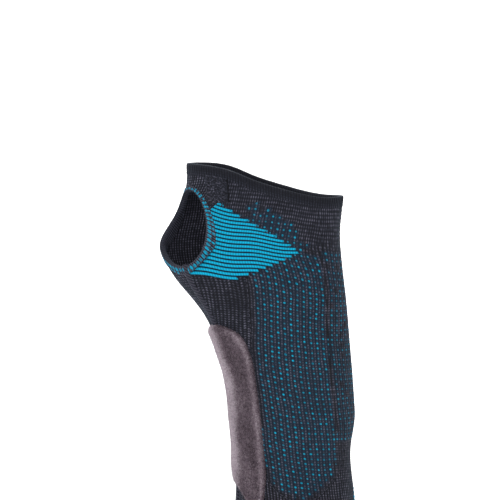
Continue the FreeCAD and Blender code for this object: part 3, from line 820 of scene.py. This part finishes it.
c, z = np.meshgrid(np.arange(-100.0, 66.0, FACE_STEP), np.arange(PANEL_LOW, 197.0, LOOP / 3))
s2, z2 = np.meshgrid(np.arange(-66.0, 56.0, 1.1), np.arange(PANEL_LOW, 197.0, 1.1))
palm = panel("palm_knit_panel", (c - drift(z, c), z, palm_pattern, -0.1), (s2, z2, lining_pattern, INNER),
             palm_start, ulnar_turn, KNIT, "palm_knit", "palmar_panel")

BACK_WIDTH = 152.0
offset, z = np.meshgrid(np.arange(0.0, BACK_WIDTH, FACE_STEP), np.arange(PANEL_LOW, 206.0, LOOP / 2))
s = arc_of(ulnar_turn(z[:, :1]), z[:, :1]) - 1.0 + offset
back = panel("back_knit_panel", (s, z, back_pattern, -0.05), (s[::2, ::3], z[::2, ::3], back_pattern, INNER),
             ulnar_turn, lambda z: palm_start(z) + 2 * np.pi, BACK_KNIT, "back_knit", "dorsal_panel")


# ---- bands round the openings

def ring_band(name, top, profile, pitch, count, node, light, teal=None):
    """Closed knitted ring: profile points are (growth, drop below the top line)."""
    t = circle(count, -1.5 * np.pi)
    z_top = top(t)
    around = arc_of(t, z_top - 4)
    rib = ridge(around / pitch) ** 0.8
    depth = max(drop for _, drop in profile)

    def line(grow, drop):
        loops = ridge(drop / LOOP)
        z = z_top - drop
        fade = smooth(drop, 0.0, 1.2) * smooth(-drop, -depth, -depth + 0.6)
        height = 0.26 * rib * (0.6 + 0.4 * loops) * fade
        # relief follows the ribs and loops: painted shade in the grooves, painted highlight on the crowns, lighter
        # lower down the band
        level = 0.08 + (light + 0.30 * smooth(drop, 2.5, 5.0)) * rib * (0.5 + 0.5 * loops)
        return dict(points=skin(t, z, grow + height if grow > -0.7 else grow - height),
                    relief=np.clip(level, 0, 1), uv=np.stack([around, z], -1), fleck=0 * z,
                    wedge=teal(around, z) if teal else 0 * z)

    return sweep(name, profile, line, RIB_KNIT, "rib_knit", node, flip=-1)


def band_profile(depth, steps, swell):
    """Rolled top edge, outer face, tucked bottom, inner face."""
    down = np.linspace(1.3, depth - 0.3, steps)
    outer = [(-0.3, 0.0), (0.25, 0.12), (0.5, 0.5)] + [(swell(d), d) for d in down]
    outer += [(swell(depth) - 0.12, depth - 0.1), (-0.3, depth)]
    inner = [(-1.3, depth), (-1.9, depth - 0.1)] + [(-2.0, d) for d in down[::-1]] + [(-1.9, 0.45), (-1.4, 0.1)]
    return outer + inner


def hem_teal(s, z):
    q, on = end_wedge(s, z)
    return on * (1 - smooth(np.abs(q / STRIPE - np.round(q / STRIPE)), 0.30, 0.40))


welt = ring_band("distal_welt_knit", rim_at, band_profile(6.2, 16, lambda drop: 0.45 - 0.30 * smooth(drop, 1.0, 5.4)),
                 1.4, 1260, "distal_welt", 0.28)
hem = ring_band("forearm_hem_knit", lambda t: np.full(t.shape, HEM_TOP), band_profile(HEM_TOP, 38, lambda drop: 0.5),
                2.0, 900, "forearm_hem", 0.45, hem_teal)


def thumb_band():
    """Edging of the thumb opening; profile points are (distance from the edge, growth)."""
    turn = circle(480)
    profile = [(0.15, -0.2), (0.0, 0.15)] + [(w, 0.55) for w in np.linspace(0.5, 2.7, 9)]
    profile += [(3.0, 0.3), (3.15, -0.4), (3.1, -1.3), (2.9, -1.95)]
    profile += [(w, -2.05) for w in np.linspace(2.4, 0.6, 6)] + [(0.05, -1.7), (0.0, -0.9)]

    def ring(wide):
        u, w = (HOLE_A + wide) * np.cos(turn), (HOLE_B + wide * HOLE_SLIM) * np.sin(turn)
        return meet(HOLE_AT + u[:, None] * HOLE_SIDE + w[:, None] * HOLE_UP, HOLE_OUT, -15, 34)

    edge = ring(profile[0][0])
    around = run_along(edge)
    girth = around[-1] + np.linalg.norm(edge[0] - edge[-1])
    rib = ridge(around / girth * round(girth / STITCH))
    bead = around / girth * round(girth / 2.15)
    chance = (np.sin(np.round(bead) * 7.13) * 437.58) % 1
    off = bead - np.round(bead)

    def line(wide, grow):
        cross = ridge((wide - 0.6) / 1.05)
        side = 1 if grow > 0.2 else -1 if grow < -1.9 else 0
        # flecks of teal in two lanes
        if wide < 1.9:
            on = ((off / 0.34) ** 2 + ((wide - 1.15) / 0.62) ** 2 < 1) * (chance < 0.93)
        else:
            on = ((off / 0.24) ** 2 + ((wide - 2.4) / 0.4) ** 2 < 1) * (chance > 0.4)
        # relief follows the ribs: painted shade between them, painted highlight on them
        return dict(points=pushed(ring(wide), grow + side * 0.20 * rib * (0.55 + 0.45 * cross)),
                    relief=0.15 + 0.85 * rib * (0.5 + 0.5 * cross), wedge=0 * rib,
                    fleck=on * (grow > 0.1) * (0.5 + 0.5 * chance), uv=np.stack([around, 0 * rib + wide], -1))

    sweep("thumb_band_knit", profile, line, RIB_KNIT, "rib_knit", "thumb_edge_band")


thumb_band()


# ---- seams and stitches

def seam_strip(name, turn_line, high, node):
    """Raised overlock seam along a line of the sleeve."""
    z = np.arange(HEM_TOP - 0.6, high, 0.4)
    centre = arc_of(turn_line(z), z)
    half = [(0.0, 1.0), (0.55, 0.95), (1.1, 0.75), (1.5, 0.35), (1.7, -0.2)]
    under = [(1.5, -1.6), (0.9, -2.2), (0.0, -2.3), (-0.9, -2.2), (-1.5, -1.6)]
    profile = [(-across, grow) for across, grow in half[:0:-1]] + half + under

    def line(across, grow):
        t = np.array([np.interp(a, arcs_at(b), TURNS) for a, b in zip(centre + across, z)])
        stitch = ridge((z + 0.7 * across) / 1.7)
        # relief follows the stitch ridges: painted shade between them, painted highlight on them
        return dict(points=pushed(skin(t, z), grow + (grow > 0) * 0.24 * stitch), relief=0.3 + 0.7 * stitch,
                    uv=np.stack([centre, z], -1))

    sweep(name, profile, line, SEAM_KNIT, "seam_knit", node, closed=False)


seam_strip("radial_overlock", radial_turn, box("radial_seam")[1, 2] - 0.5, "radial_seam")
seam_strip("ulnar_overlock", ulnar_turn, box("ulnar_seam")[1, 2] + 0.8, "ulnar_seam")


def web_overlap():
    left, right = box("web_seam_overlap")[:, 0] - X0
    low = 178.2
    x, step = np.meshgrid(np.linspace(left, right, 41), np.linspace(0, 1, 56))
    z = np.full(x.shape, low)
    for _ in range(3):
        t = turn_of(x, z, -1)
        z = low + (rim_at(t) - 4.9 - low) * step
    stipple = rng.random(x.shape)
    stipple = (stipple + np.roll(stipple, 1, 0) + np.roll(stipple, 1, 1)) / 3
    edge = np.minimum(np.minimum(x - left, right - x) / 0.7, np.minimum(step, 1 - step) / 0.05)
    edge = np.clip(edge, 0, 1)
    hem = 0.25 * np.exp(-((x - right + 1.0) / 0.5) ** 2) * ridge(z / LOOP)
    base = skin(t, z)
    outer = pushed(base, 0.05 + edge * (0.65 + 0.45 * (stipple - 0.5) + hem))
    inner = pushed(base, np.full(x.shape, -0.35))
    # random stipple, going to the groove colour along the lapped right edge as a painted shadow line
    shade = np.clip(0.15 + 1.5 * (stipple - 0.35), 0, 1) * smooth(right - x, 0.4, 1.1)
    piece("web_overlap_knit", material=RIB_KNIT, slot="rib_knit", node="web_seam_overlap",
          **slab(outer, inner, dict(relief=shade)))


web_overlap()


def capsules(name, starts, ends, normals, radius, node=None):
    """Short rounded stitches from start to end: (part of the way, width, rise) rings."""
    rings = ((0.0, 0.15, -0.5), (0.12, 0.75, 0.1), (0.3, 1.0, 0.5), (0.5, 1.05, 0.6), (0.7, 1.0, 0.5),
             (0.88, 0.75, 0.1), (1.0, 0.15, -0.5))
    sides = 8
    turn = circle(sides)
    points, faces = [], []
    for number, (a, b, n) in enumerate(zip(starts, ends, normals)):
        side = np.cross(unit(b - a), n)
        for part, wide, rise in rings:
            centre = a + (b - a) * part + n * rise * radius
            points.append(centre + radius * wide * (np.cos(turn)[:, None] * side + np.sin(turn)[:, None] * n))
        faces.append(quads(len(rings), sides, False, True, number * len(rings) * sides))
    # each stitch is lighter on its outward side and darker underneath: painted highlight and painted shade
    piece(name, np.stack(points), np.concatenate(faces)[:, ::-1], THREAD, "stitching", node=node,
          relief=np.tile(0.4 + 0.5 * np.sin(turn), len(points)))


def pocket_stitches():
    path = np.array(POCKET, float)
    run = run_along(path)
    at = np.arange(0, run[-1] - 2.2, 2.6)
    ends = []
    for offset in (0.0, 1.9):
        x, z = (np.interp(at + offset, run, path[:, k]) for k in (0, 1))
        base = skin(turn_of(x, z, -1), z)
        ends.append(pushed(base, np.full(x.shape, 0.08)))
    capsules("pocket_stitches", *ends, outward(base), 0.17, "pocket_stitch_line")


pocket_stitches()


# ---- padded pieces

def settle(thing, pinned, pressure, cap, frames):
    """Cloth simulation of a pinned pad, with each point's travel capped."""
    before = coordinates(thing.data)
    group = thing.vertex_groups.new(name="pinned")
    group.add([int(i) for i in np.nonzero(pinned)[0]], 1.0, "REPLACE")
    cloth = thing.modifiers.new("cloth", "CLOTH")
    settings = dict(quality=4, mass=0.15, tension_stiffness=12, compression_stiffness=12, bending_stiffness=0.4,
                    use_pressure=True, uniform_pressure_force=pressure, vertex_group_mass="pinned")
    for key, value in settings.items():
        setattr(cloth.settings, key, value)
    cloth.settings.effector_weights.gravity = 0
    cloth.collision_settings.use_collision = False
    cloth.point_cache.frame_start = 1
    cloth.point_cache.frame_end = frames
    for number in range(1, frames + 1):
        bpy.context.scene.frame_set(number)
    settled = thing.evaluated_get(bpy.context.evaluated_depsgraph_get())
    travel = coordinates(settled.to_mesh()) - before
    settled.to_mesh_clear()
    thing.modifiers.remove(cloth)
    bpy.context.scene.frame_set(1)
    length = np.linalg.norm(travel, axis=1, keepdims=True)
    travel *= np.minimum(1, cap * MM / np.maximum(length, 1e-9))
    thing.data.vertices.foreach_set("co", (before + travel).ravel())
    thing.data.update()


VELOUR_TURN = math.radians(30)
VELOUR_OUT = np.array([-math.cos(VELOUR_TURN), -math.sin(VELOUR_TURN), 0.0])
VELOUR_SIDE = np.array([math.sin(VELOUR_TURN), -math.cos(VELOUR_TURN), 0.0])
VELOUR_OUTLINE = [(-10.5, 115.4), (3.0, 109.6), (8.0, 98.0), (10.0, 82.0), (12.0, 58.0), (12.2, 32.0), (9.0, 18.5),
                  (-2.8, 28.0), (-15.0, 37.0), (-25.0, 50.0), (-27.0, 76.0), (-25.0, 102.0), (-19.0, 113.0)]
VELOUR_THICK = 2.5


def closed_curve(points, count):
    """Evenly spaced points along a smooth closed curve through the given ones."""
    p = np.array(points, float)
    fine = []
    for i in range(len(p)):
        a, b, c, d = p[i - 1], p[i], p[(i + 1) % len(p)], p[(i + 2) % len(p)]
        ta, tb, tc = (math.sqrt(np.linalg.norm(step)) for step in (b - a, c - b, d - c))
        m1 = c - b + tb * ((b - a) / ta - (c - a) / (ta + tb))
        m2 = c - b + tb * ((d - c) / tc - (d - b) / (tb + tc))
        for u in np.linspace(0, 1, 40, endpoint=False):
            fine.append((2 * u**3 - 3 * u**2 + 1) * b + (u**3 - 2 * u**2 + u) * m1
                        + (-2 * u**3 + 3 * u**2) * c + (u**3 - u**2) * m2)
    fine = np.array(fine + [fine[0]])
    run = run_along(fine)
    at = np.linspace(0, run[-1], count, endpoint=False)
    return np.stack([np.interp(at, run, fine[:, k]) for k in (0, 1)], -1)


def velour_patch():
    count, rings = 420, 34
    outline = closed_curve(VELOUR_OUTLINE, count)
    middle = np.array([X0, box("forearm_hem")[:, 1].mean(), 0.0])
    # the outline stays short of the sleeve's silhouette at the back
    behind = np.repeat(middle[None], count, 0)
    behind[:, 2] = outline[:, 1]
    limit = np.linalg.norm(meet(behind, -VELOUR_SIDE, 0, 60) - behind, axis=1)
    outline[:, 0] = np.maximum(outline[:, 0], 0.9 - limit)
    # rings from a line in the middle out to the outline
    low, high = np.array([-2.0, 44.0]), np.array([-9.0, 97.0])
    axis = unit(high - low)
    part = np.clip((outline - low) @ axis, 0, np.linalg.norm(high - low))
    anchor = low + part[:, None] * axis
    rounded = 0.86 + 0.14 * np.sin(np.linspace(0.1, 1, 10) * np.pi / 2)
    out = np.concatenate([np.linspace(0, 0.86, rings - 10), rounded])
    flat = anchor[None] + out[:, None, None] * (outline - anchor)[None]
    away = (1 - out)[:, None] * np.linalg.norm(outline - anchor, axis=1)[None]
    across, along = flat[..., 0], flat[..., 1]
    start = middle + flat[..., :1] * VELOUR_SIDE
    start[..., 2] = along
    base = meet(start, VELOUR_OUT, 0, 60)
    edge = 1 - np.clip(away / 2.4, 0, 1)
    thick = VELOUR_THICK * np.sqrt(np.clip(1 - edge ** 2, 0, 1))
    spine = np.interp(along, [30, 60, 100], [-5.0, -6.5, -7.5])
    stay = 0.55 * np.exp(-((across - spine) / 4.6) ** 4) * smooth(along, 28, 34) * (1 - smooth(along, 102, 107))
    dents = 0.16 * np.sin(along / 7.3 + across / 5.1) + 0.10 * np.sin(along / 3.1 - across / 2.7 + 1.3)
    outer = pushed(base, thick + (stay + dents) * (1 - edge) - 0.05)
    under = pushed(base, np.full(away.shape, -0.05))
    # lighter towards the thumb side and along the edge: painted sheen highlight near the thumb-side silhouette and
    # along the rim of the right half, and painted shade right at the rim
    lane = across - spine
    thumb, _, centre, _ = section(base[..., 2])
    turned = base[..., 0] - X0 + thumb
    turned = np.where(base[..., 1] > centre, np.minimum(turned, 4.0), turned)
    tone = 0.18 + 0.95 * (1 - smooth(turned, 1.0, 6.0)) + 0.08 * np.sin(along / 6.3 + lane / 4.0)
    tone = tone + 0.34 * np.exp(-((away - 1.5) / 1.2) ** 2) * (lane > 4) - 0.12 * edge ** 4
    grid = quads(rings, count, False, True)
    sheet = joined([(outer, grid, dict(tone=tone)), (under, grid[:, ::-1], dict(tone=np.zeros(tone.shape)))])
    last = (rings - 1) * count + np.arange(count)
    after = np.roll(last, -1)
    wall = np.stack([last, last + rings * count, after + rings * count, after], -1)
    sheet["faces"] = np.concatenate([sheet["faces"], wall[:, ::-1]])
    patch = piece("velour_patch", material=VELOUR, slot="velour", node="velour_stay_cover", **sheet)
    pinned = np.concatenate([np.repeat(out > 0.93, count), np.ones(rings * count, bool)])
    settle(patch, pinned[np.unique(sheet["faces"])], 2.2, 0.6, 16)
    add_pile(patch, rings * count, tone.ravel())


def add_pile(patch, outer_count, shades):
    """Short leaning fibres standing on the outer face."""
    total = 40000
    points = coordinates(patch.data) / MM
    faces = np.array([p.vertices[:] for p in patch.data.polygons if max(p.vertices) < outer_count])
    a, b, c, d = (points[faces[:, k]] for k in range(4))
    cross = np.cross(c - a, d - b)
    area = np.linalg.norm(cross, axis=1)
    pick = rng.choice(len(faces), total, p=area / area.sum())
    u, v = rng.random(total)[:, None], rng.random(total)[:, None]
    root = (a[pick] * (1 - u) + b[pick] * u) * (1 - v) + (d[pick] * (1 - u) + c[pick] * u) * v
    n = (cross / np.maximum(area, 1e-9)[:, None])[pick]
    n = n * np.sign((n * (root - np.array([X0, 0, 60]))).sum(1) + 1e-9)[:, None]
    swirl = np.sin(root[:, 2] / 6.0) * 0.5 + np.sin(root[:, 1] / 4.0 + root[:, 2] / 9.0) * 0.4
    nap = np.stack([0.25 * swirl, 0.35 * swirl, -0.55 + 0.2 * swirl], -1) + rng.normal(0, 0.45, (total, 3))
    way = unit(n * 0.9 + nap * 0.7)
    tip = root + way * rng.uniform(0.35, 0.8, total)[:, None]
    side = 0.05 * unit(np.cross(way, rng.normal(0, 1, (total, 3))))
    foot = root - n * 0.05
    blades = np.stack([foot - side, foot + side, tip + side * 0.3, tip - side * 0.3], 1)
    clump = np.sin(np.round(root / 0.9) @ np.array([12.9898, 78.233, 37.719])) * 43758.5453 % 1 - 0.5
    # each fibre takes the patch's painted highlight and shade, plus random clumps
    shade = shades[np.minimum(faces[:, 0], len(shades) - 1)][pick]
    shade = np.clip(shade + 0.8 * clump + rng.normal(0.1, 0.15, total), 0, 1.4)
    # darker at the root and lighter at the tip: painted shade and painted highlight
    piece("velour_pile", blades, np.arange(total * 4).reshape(-1, 4), VELOUR, "velour",
          tone=np.repeat(shade, 4) + np.tile([-0.15, -0.15, 0.15, 0.15], total))


velour_patch()

KNIT_THICK = 2.05


def tunnel(name, centre, half, low, high, depth, node, closed_low, closed_high):
    """Padded strip on the inside of the knit that lifts off it to make a sleeve for a stay."""
    part, z = np.meshgrid(np.linspace(-1, 1, 48), np.linspace(low, high, 120))
    s = centre(z) + part * half
    lift = smooth((1 - np.abs(part)) * half, 0.0, 3.6)
    if closed_low:
        lift = lift * smooth(z - low, 0, 4)
    if closed_high:
        lift = lift * smooth(high - z, 0, 4)
    base = skin(turn_at(s, z), z)
    quilt = 0.25 * np.sin(z / 3.4) * np.sin(s / 2.6) * lift
    inner = pushed(base, -(KNIT_THICK + 0.2 + lift * (depth - KNIT_THICK - 0.2) + quilt))
    outer = pushed(base, -(KNIT_THICK + lift * (depth - KNIT_THICK - 0.9)))
    pad = piece(name, material=LINING_KNIT, slot="lining_knit", node=node,
                **slab(outer, inner, dict(relief=0.35 + 0.5 * rng.random(z.shape))))
    settle(pad, np.concatenate([np.ones(z.size, bool), (lift < 0.9).ravel()]), -0.5, 0.3, 10)


pocket_lo, pocket_hi = box("palmar_pocket_lining")
pocket_left, pocket_right = pocket_lo[0] - X0 - 0.4, pocket_hi[0] - X0 + 2.2
tunnel("pocket_lining_pad", lambda z: (pocket_left + pocket_right) / 2, (pocket_right - pocket_left) / 2,
       pocket_lo[2], pocket_hi[2], 7.35, "palmar_pocket_lining", False, True)

slide = entry(RECORD["behaviour"]["joints"], "little_finger_stay_draw")
SLIDE = unit(np.array(slide["axis"]))
stay_lo, stay_hi = box("ulnar_stay")
STAY_MIDDLE = (stay_lo + stay_hi) / 2


def channel_centre(z):
    y = STAY_MIDDLE[1] + (z - STAY_MIDDLE[2]) * SLIDE[1] / SLIDE[2]
    _, _, centre, half = section(z)
    return arc_of(np.arcsin((y - centre) / half)[:, :1], z[:, :1])


channel_low, channel_high = box("ulnar_stay_channel")[:, 2]
tunnel("little_finger_channel_pad", channel_centre, 7.6, channel_low + 0.4, channel_high - 0.2, 7.3,
       "ulnar_stay_channel", True, False)


# ---- stays

def rounded_copy(node, name, width, material, body):
    """The frame's own shape with its edges softened."""
    thing = add_object(name, NODES[node].data.copy())
    weld = thing.modifiers.new("weld", "WELD")
    weld.merge_threshold = 0.00002
    bevel = thing.modifiers.new("bevel", "BEVEL")
    bevel.width = width * MM
    bevel.segments = 3
    bevel.limit_method = "ANGLE"
    bevel.angle_limit = math.radians(40)
    bevel.harden_normals = True
    graph = bpy.context.evaluated_depsgraph_get()
    mesh = bpy.data.meshes.new_from_object(thing.evaluated_get(graph))
    thing.modifiers.clear()
    thing.data = mesh
    mesh.materials.clear()
    declare(thing, material, body, node)


rounded_copy("palmar_stay", "palm_stay_bar", 0.35, ALUMINIUM, "palm_stay_insert")
for node, name, width, body in (
        ("palmar_stay_cap_lower", "palm_stay_tip_low", 0.4, "palm_stay_insert"),
        ("palmar_stay_cap_upper", "palm_stay_tip_high", 0.4, "palm_stay_insert"),
        ("ulnar_stay_cap_lower", "little_stay_tip_low", 0.3, "little_finger_stay_insert"),
        ("ulnar_stay_cap_upper", "little_stay_tip_high", 0.3, "little_finger_stay_insert"),
        ("radial_stay_cap_lower", "radial_stay_cap_lower_tip", 0.3, "sleeve"),
        ("radial_stay_cap_upper", "radial_stay_cap_upper_tip", 0.3, "sleeve")):
    rounded_copy(node, name, width, CAP, body)
rounded_copy("radial_stay", "thumb_stay_bar", 0.25, STEEL, "sleeve")


def coil_stay():
    """Flattened coil of round wire along the stay's own line."""
    length = (stay_hi[2] - stay_lo[2]) / SLIDE[2] - 1.2
    wire, pitch, sides = 0.33, 1.7, 8
    turns = length / pitch
    angle = np.linspace(0, 2 * np.pi * turns, int(turns * 22))
    flat = np.sign(np.cos(angle)) * np.abs(np.cos(angle)) ** 0.8
    path = (STAY_MIDDLE + np.outer(0.36 * np.sin(angle), [1, 0, 0])
            + np.outer(3.6 * flat, np.cross(SLIDE, [1.0, 0, 0]))
            + np.outer(angle / (2 * np.pi) * pitch - length / 2, SLIDE))
    way = unit(np.gradient(path, axis=0))
    first = unit(np.cross(way, SLIDE))
    second = np.cross(way, first)
    turn = circle(sides)[None, :, None]
    tube = path[:, None] + wire * (np.cos(turn) * first[:, None] + np.sin(turn) * second[:, None])
    piece("little_stay_coil", tube, quads(len(path), sides, False, True), STEEL, "spring_steel",
          "little_finger_stay_insert", "ulnar_stay")


coil_stay()


# ---- grip dots and label

def grip_dots():
    low, high = box("silicone_grip")[:, 2]
    rings, sides, number = 4, 10, 58
    turn = circle(sides)[:, None]
    points, faces = [], []
    for row, z in enumerate(np.linspace(low + 1.2, high - 1.2, 3)):
        arcs = arcs_at(z)
        for k in range(number):
            s = arcs[0] + (k + 0.5 * (row % 2)) * (arcs[-1] - arcs[0]) / number
            base = skin(np.array([np.interp(s, arcs, TURNS)]), np.array([z]), -1.9)
            n = outward(base)[0]
            up = np.array([0, 0, 1.0]) - n * n[2]
            side = np.cross(n, up)
            faces.append(quads(rings, sides, False, True, len(points) * sides))
            for rise in np.linspace(0, math.pi / 2, rings):
                centre = base[0] - n * (0.95 * math.sin(rise) - 0.05)
                points.append(centre + 1.15 * math.cos(rise * 0.97) * (np.cos(turn) * side + np.sin(turn) * up))
    piece("silicone_dots", np.stack(points), np.concatenate(faces), SILICONE, "grip_silicone", node="silicone_grip")


grip_dots()


def care_label():
    lo, hi = box("care_label")
    x, z = np.meshgrid(np.linspace(lo[0], hi[0], 44) - X0, np.linspace(lo[2], hi[2], 30))
    base = skin(turn_of(x, z, 1), z, -2.0)
    normal = outward(base)
    free = smooth(hi[2] - z, 1.5, 14)
    face = base - normal * (0.3 + 0.55 * free + 0.3 * free * np.sin(x / 4.0))[..., None]
    label = piece("blank_care_label", material=LABEL, slot="label_tape", node="care_label",
                  **slab(face, face + normal * 0.18, dict(uv=np.stack([x, z], -1)), -1))
    top = np.linspace(lo[0] + 1.0, hi[0] - 1.0, 12) - X0
    level = np.full(top.shape, hi[2] - 1.0)
    ends = [skin(turn_of(top + shift, level, 1), level, -2.42) for shift in (-0.55, 0.55)]
    capsules("label_stitches", *ends, -outward(ends[0]), 0.14)


care_label()


# ---- stage, light and camera

def stage():
    """Pale floor that curves up into a backdrop."""
    profile = [(-3.0, 0.0)] + [(y, 0.0) for y in np.linspace(-1.0, 1.6, 6)]
    profile += [(1.6 + 0.8 * math.sin(a), 0.8 - 0.8 * math.cos(a)) for a in np.linspace(0.15, math.pi / 2, 12)]
    profile += [(2.4, 3.6)]
    mesh = bpy.data.meshes.new("studio_floor")
    mesh.from_pydata([(x, y, z) for y, z in profile for x in (-3.5, 3.5)], [], quads(len(profile), 2).tolist())
    for polygon in mesh.polygons:
        polygon.use_smooth = True
    floor = add_object("studio_floor", mesh)
    n = Nodes("studio_floor")
    mesh.materials.append(n.set(Base_Color=n.ramp(n.noise(2.0, 2), (0.3, 0.86), (0.7, 0.9)), Roughness=0.9))


stage()


def area_light(name, place, target, size, power):
    data = bpy.data.lights.new(name, "AREA")
    data.shape = "RECTANGLE"
    data.size, data.size_y = size
    data.energy = power
    light = add_object(name, data)
    light.location = place
    light.rotation_euler = (Vector(target) - Vector(place)).to_track_quat("-Z", "Y").to_euler()


area_light("key", (-1.1, -1.5, 1.3), (0, 0, 0.12), (1.0, 1.0), 20)
area_light("fill", (1.5, -1.2, 0.7), (0, 0, 0.12), (1.4, 1.4), 7)
area_light("top", (0, 0.2, 2.0), (0, 0, 0.1), (1.6, 1.6), 8)
area_light("wall", (0, 0.9, 2.2), (0, 2.4, 0.5), (3.0, 1.0), 110)
world = bpy.data.worlds.new("studio")
world.use_nodes = True
sky = world.node_tree.nodes["Background"].inputs
sky[0].default_value = (1, 1, 1, 1)
sky[1].default_value = 0.38
scene = bpy.context.scene
scene.world = world
scene.view_settings.view_transform = "Standard"
scene.view_settings.look = "None"

ROLL = math.radians(4.5)
camera_data = bpy.data.cameras.new("camera")
camera_data.sensor_width = 36
camera_data.lens = 164.8
camera_data.clip_end = 50
camera = add_object("camera", camera_data)
right = Vector((math.cos(ROLL), 0, -math.sin(ROLL)))
up = Vector((math.sin(ROLL), 0, math.cos(ROLL)))
rotation = Matrix((right, up, Vector((0, -1, 0)))).transposed()
camera.matrix_world = Matrix.Translation(((X0 - 11.5) * MM, -1.205, 0.1527)) @ rotation.to_4x4()
scene.camera = camera
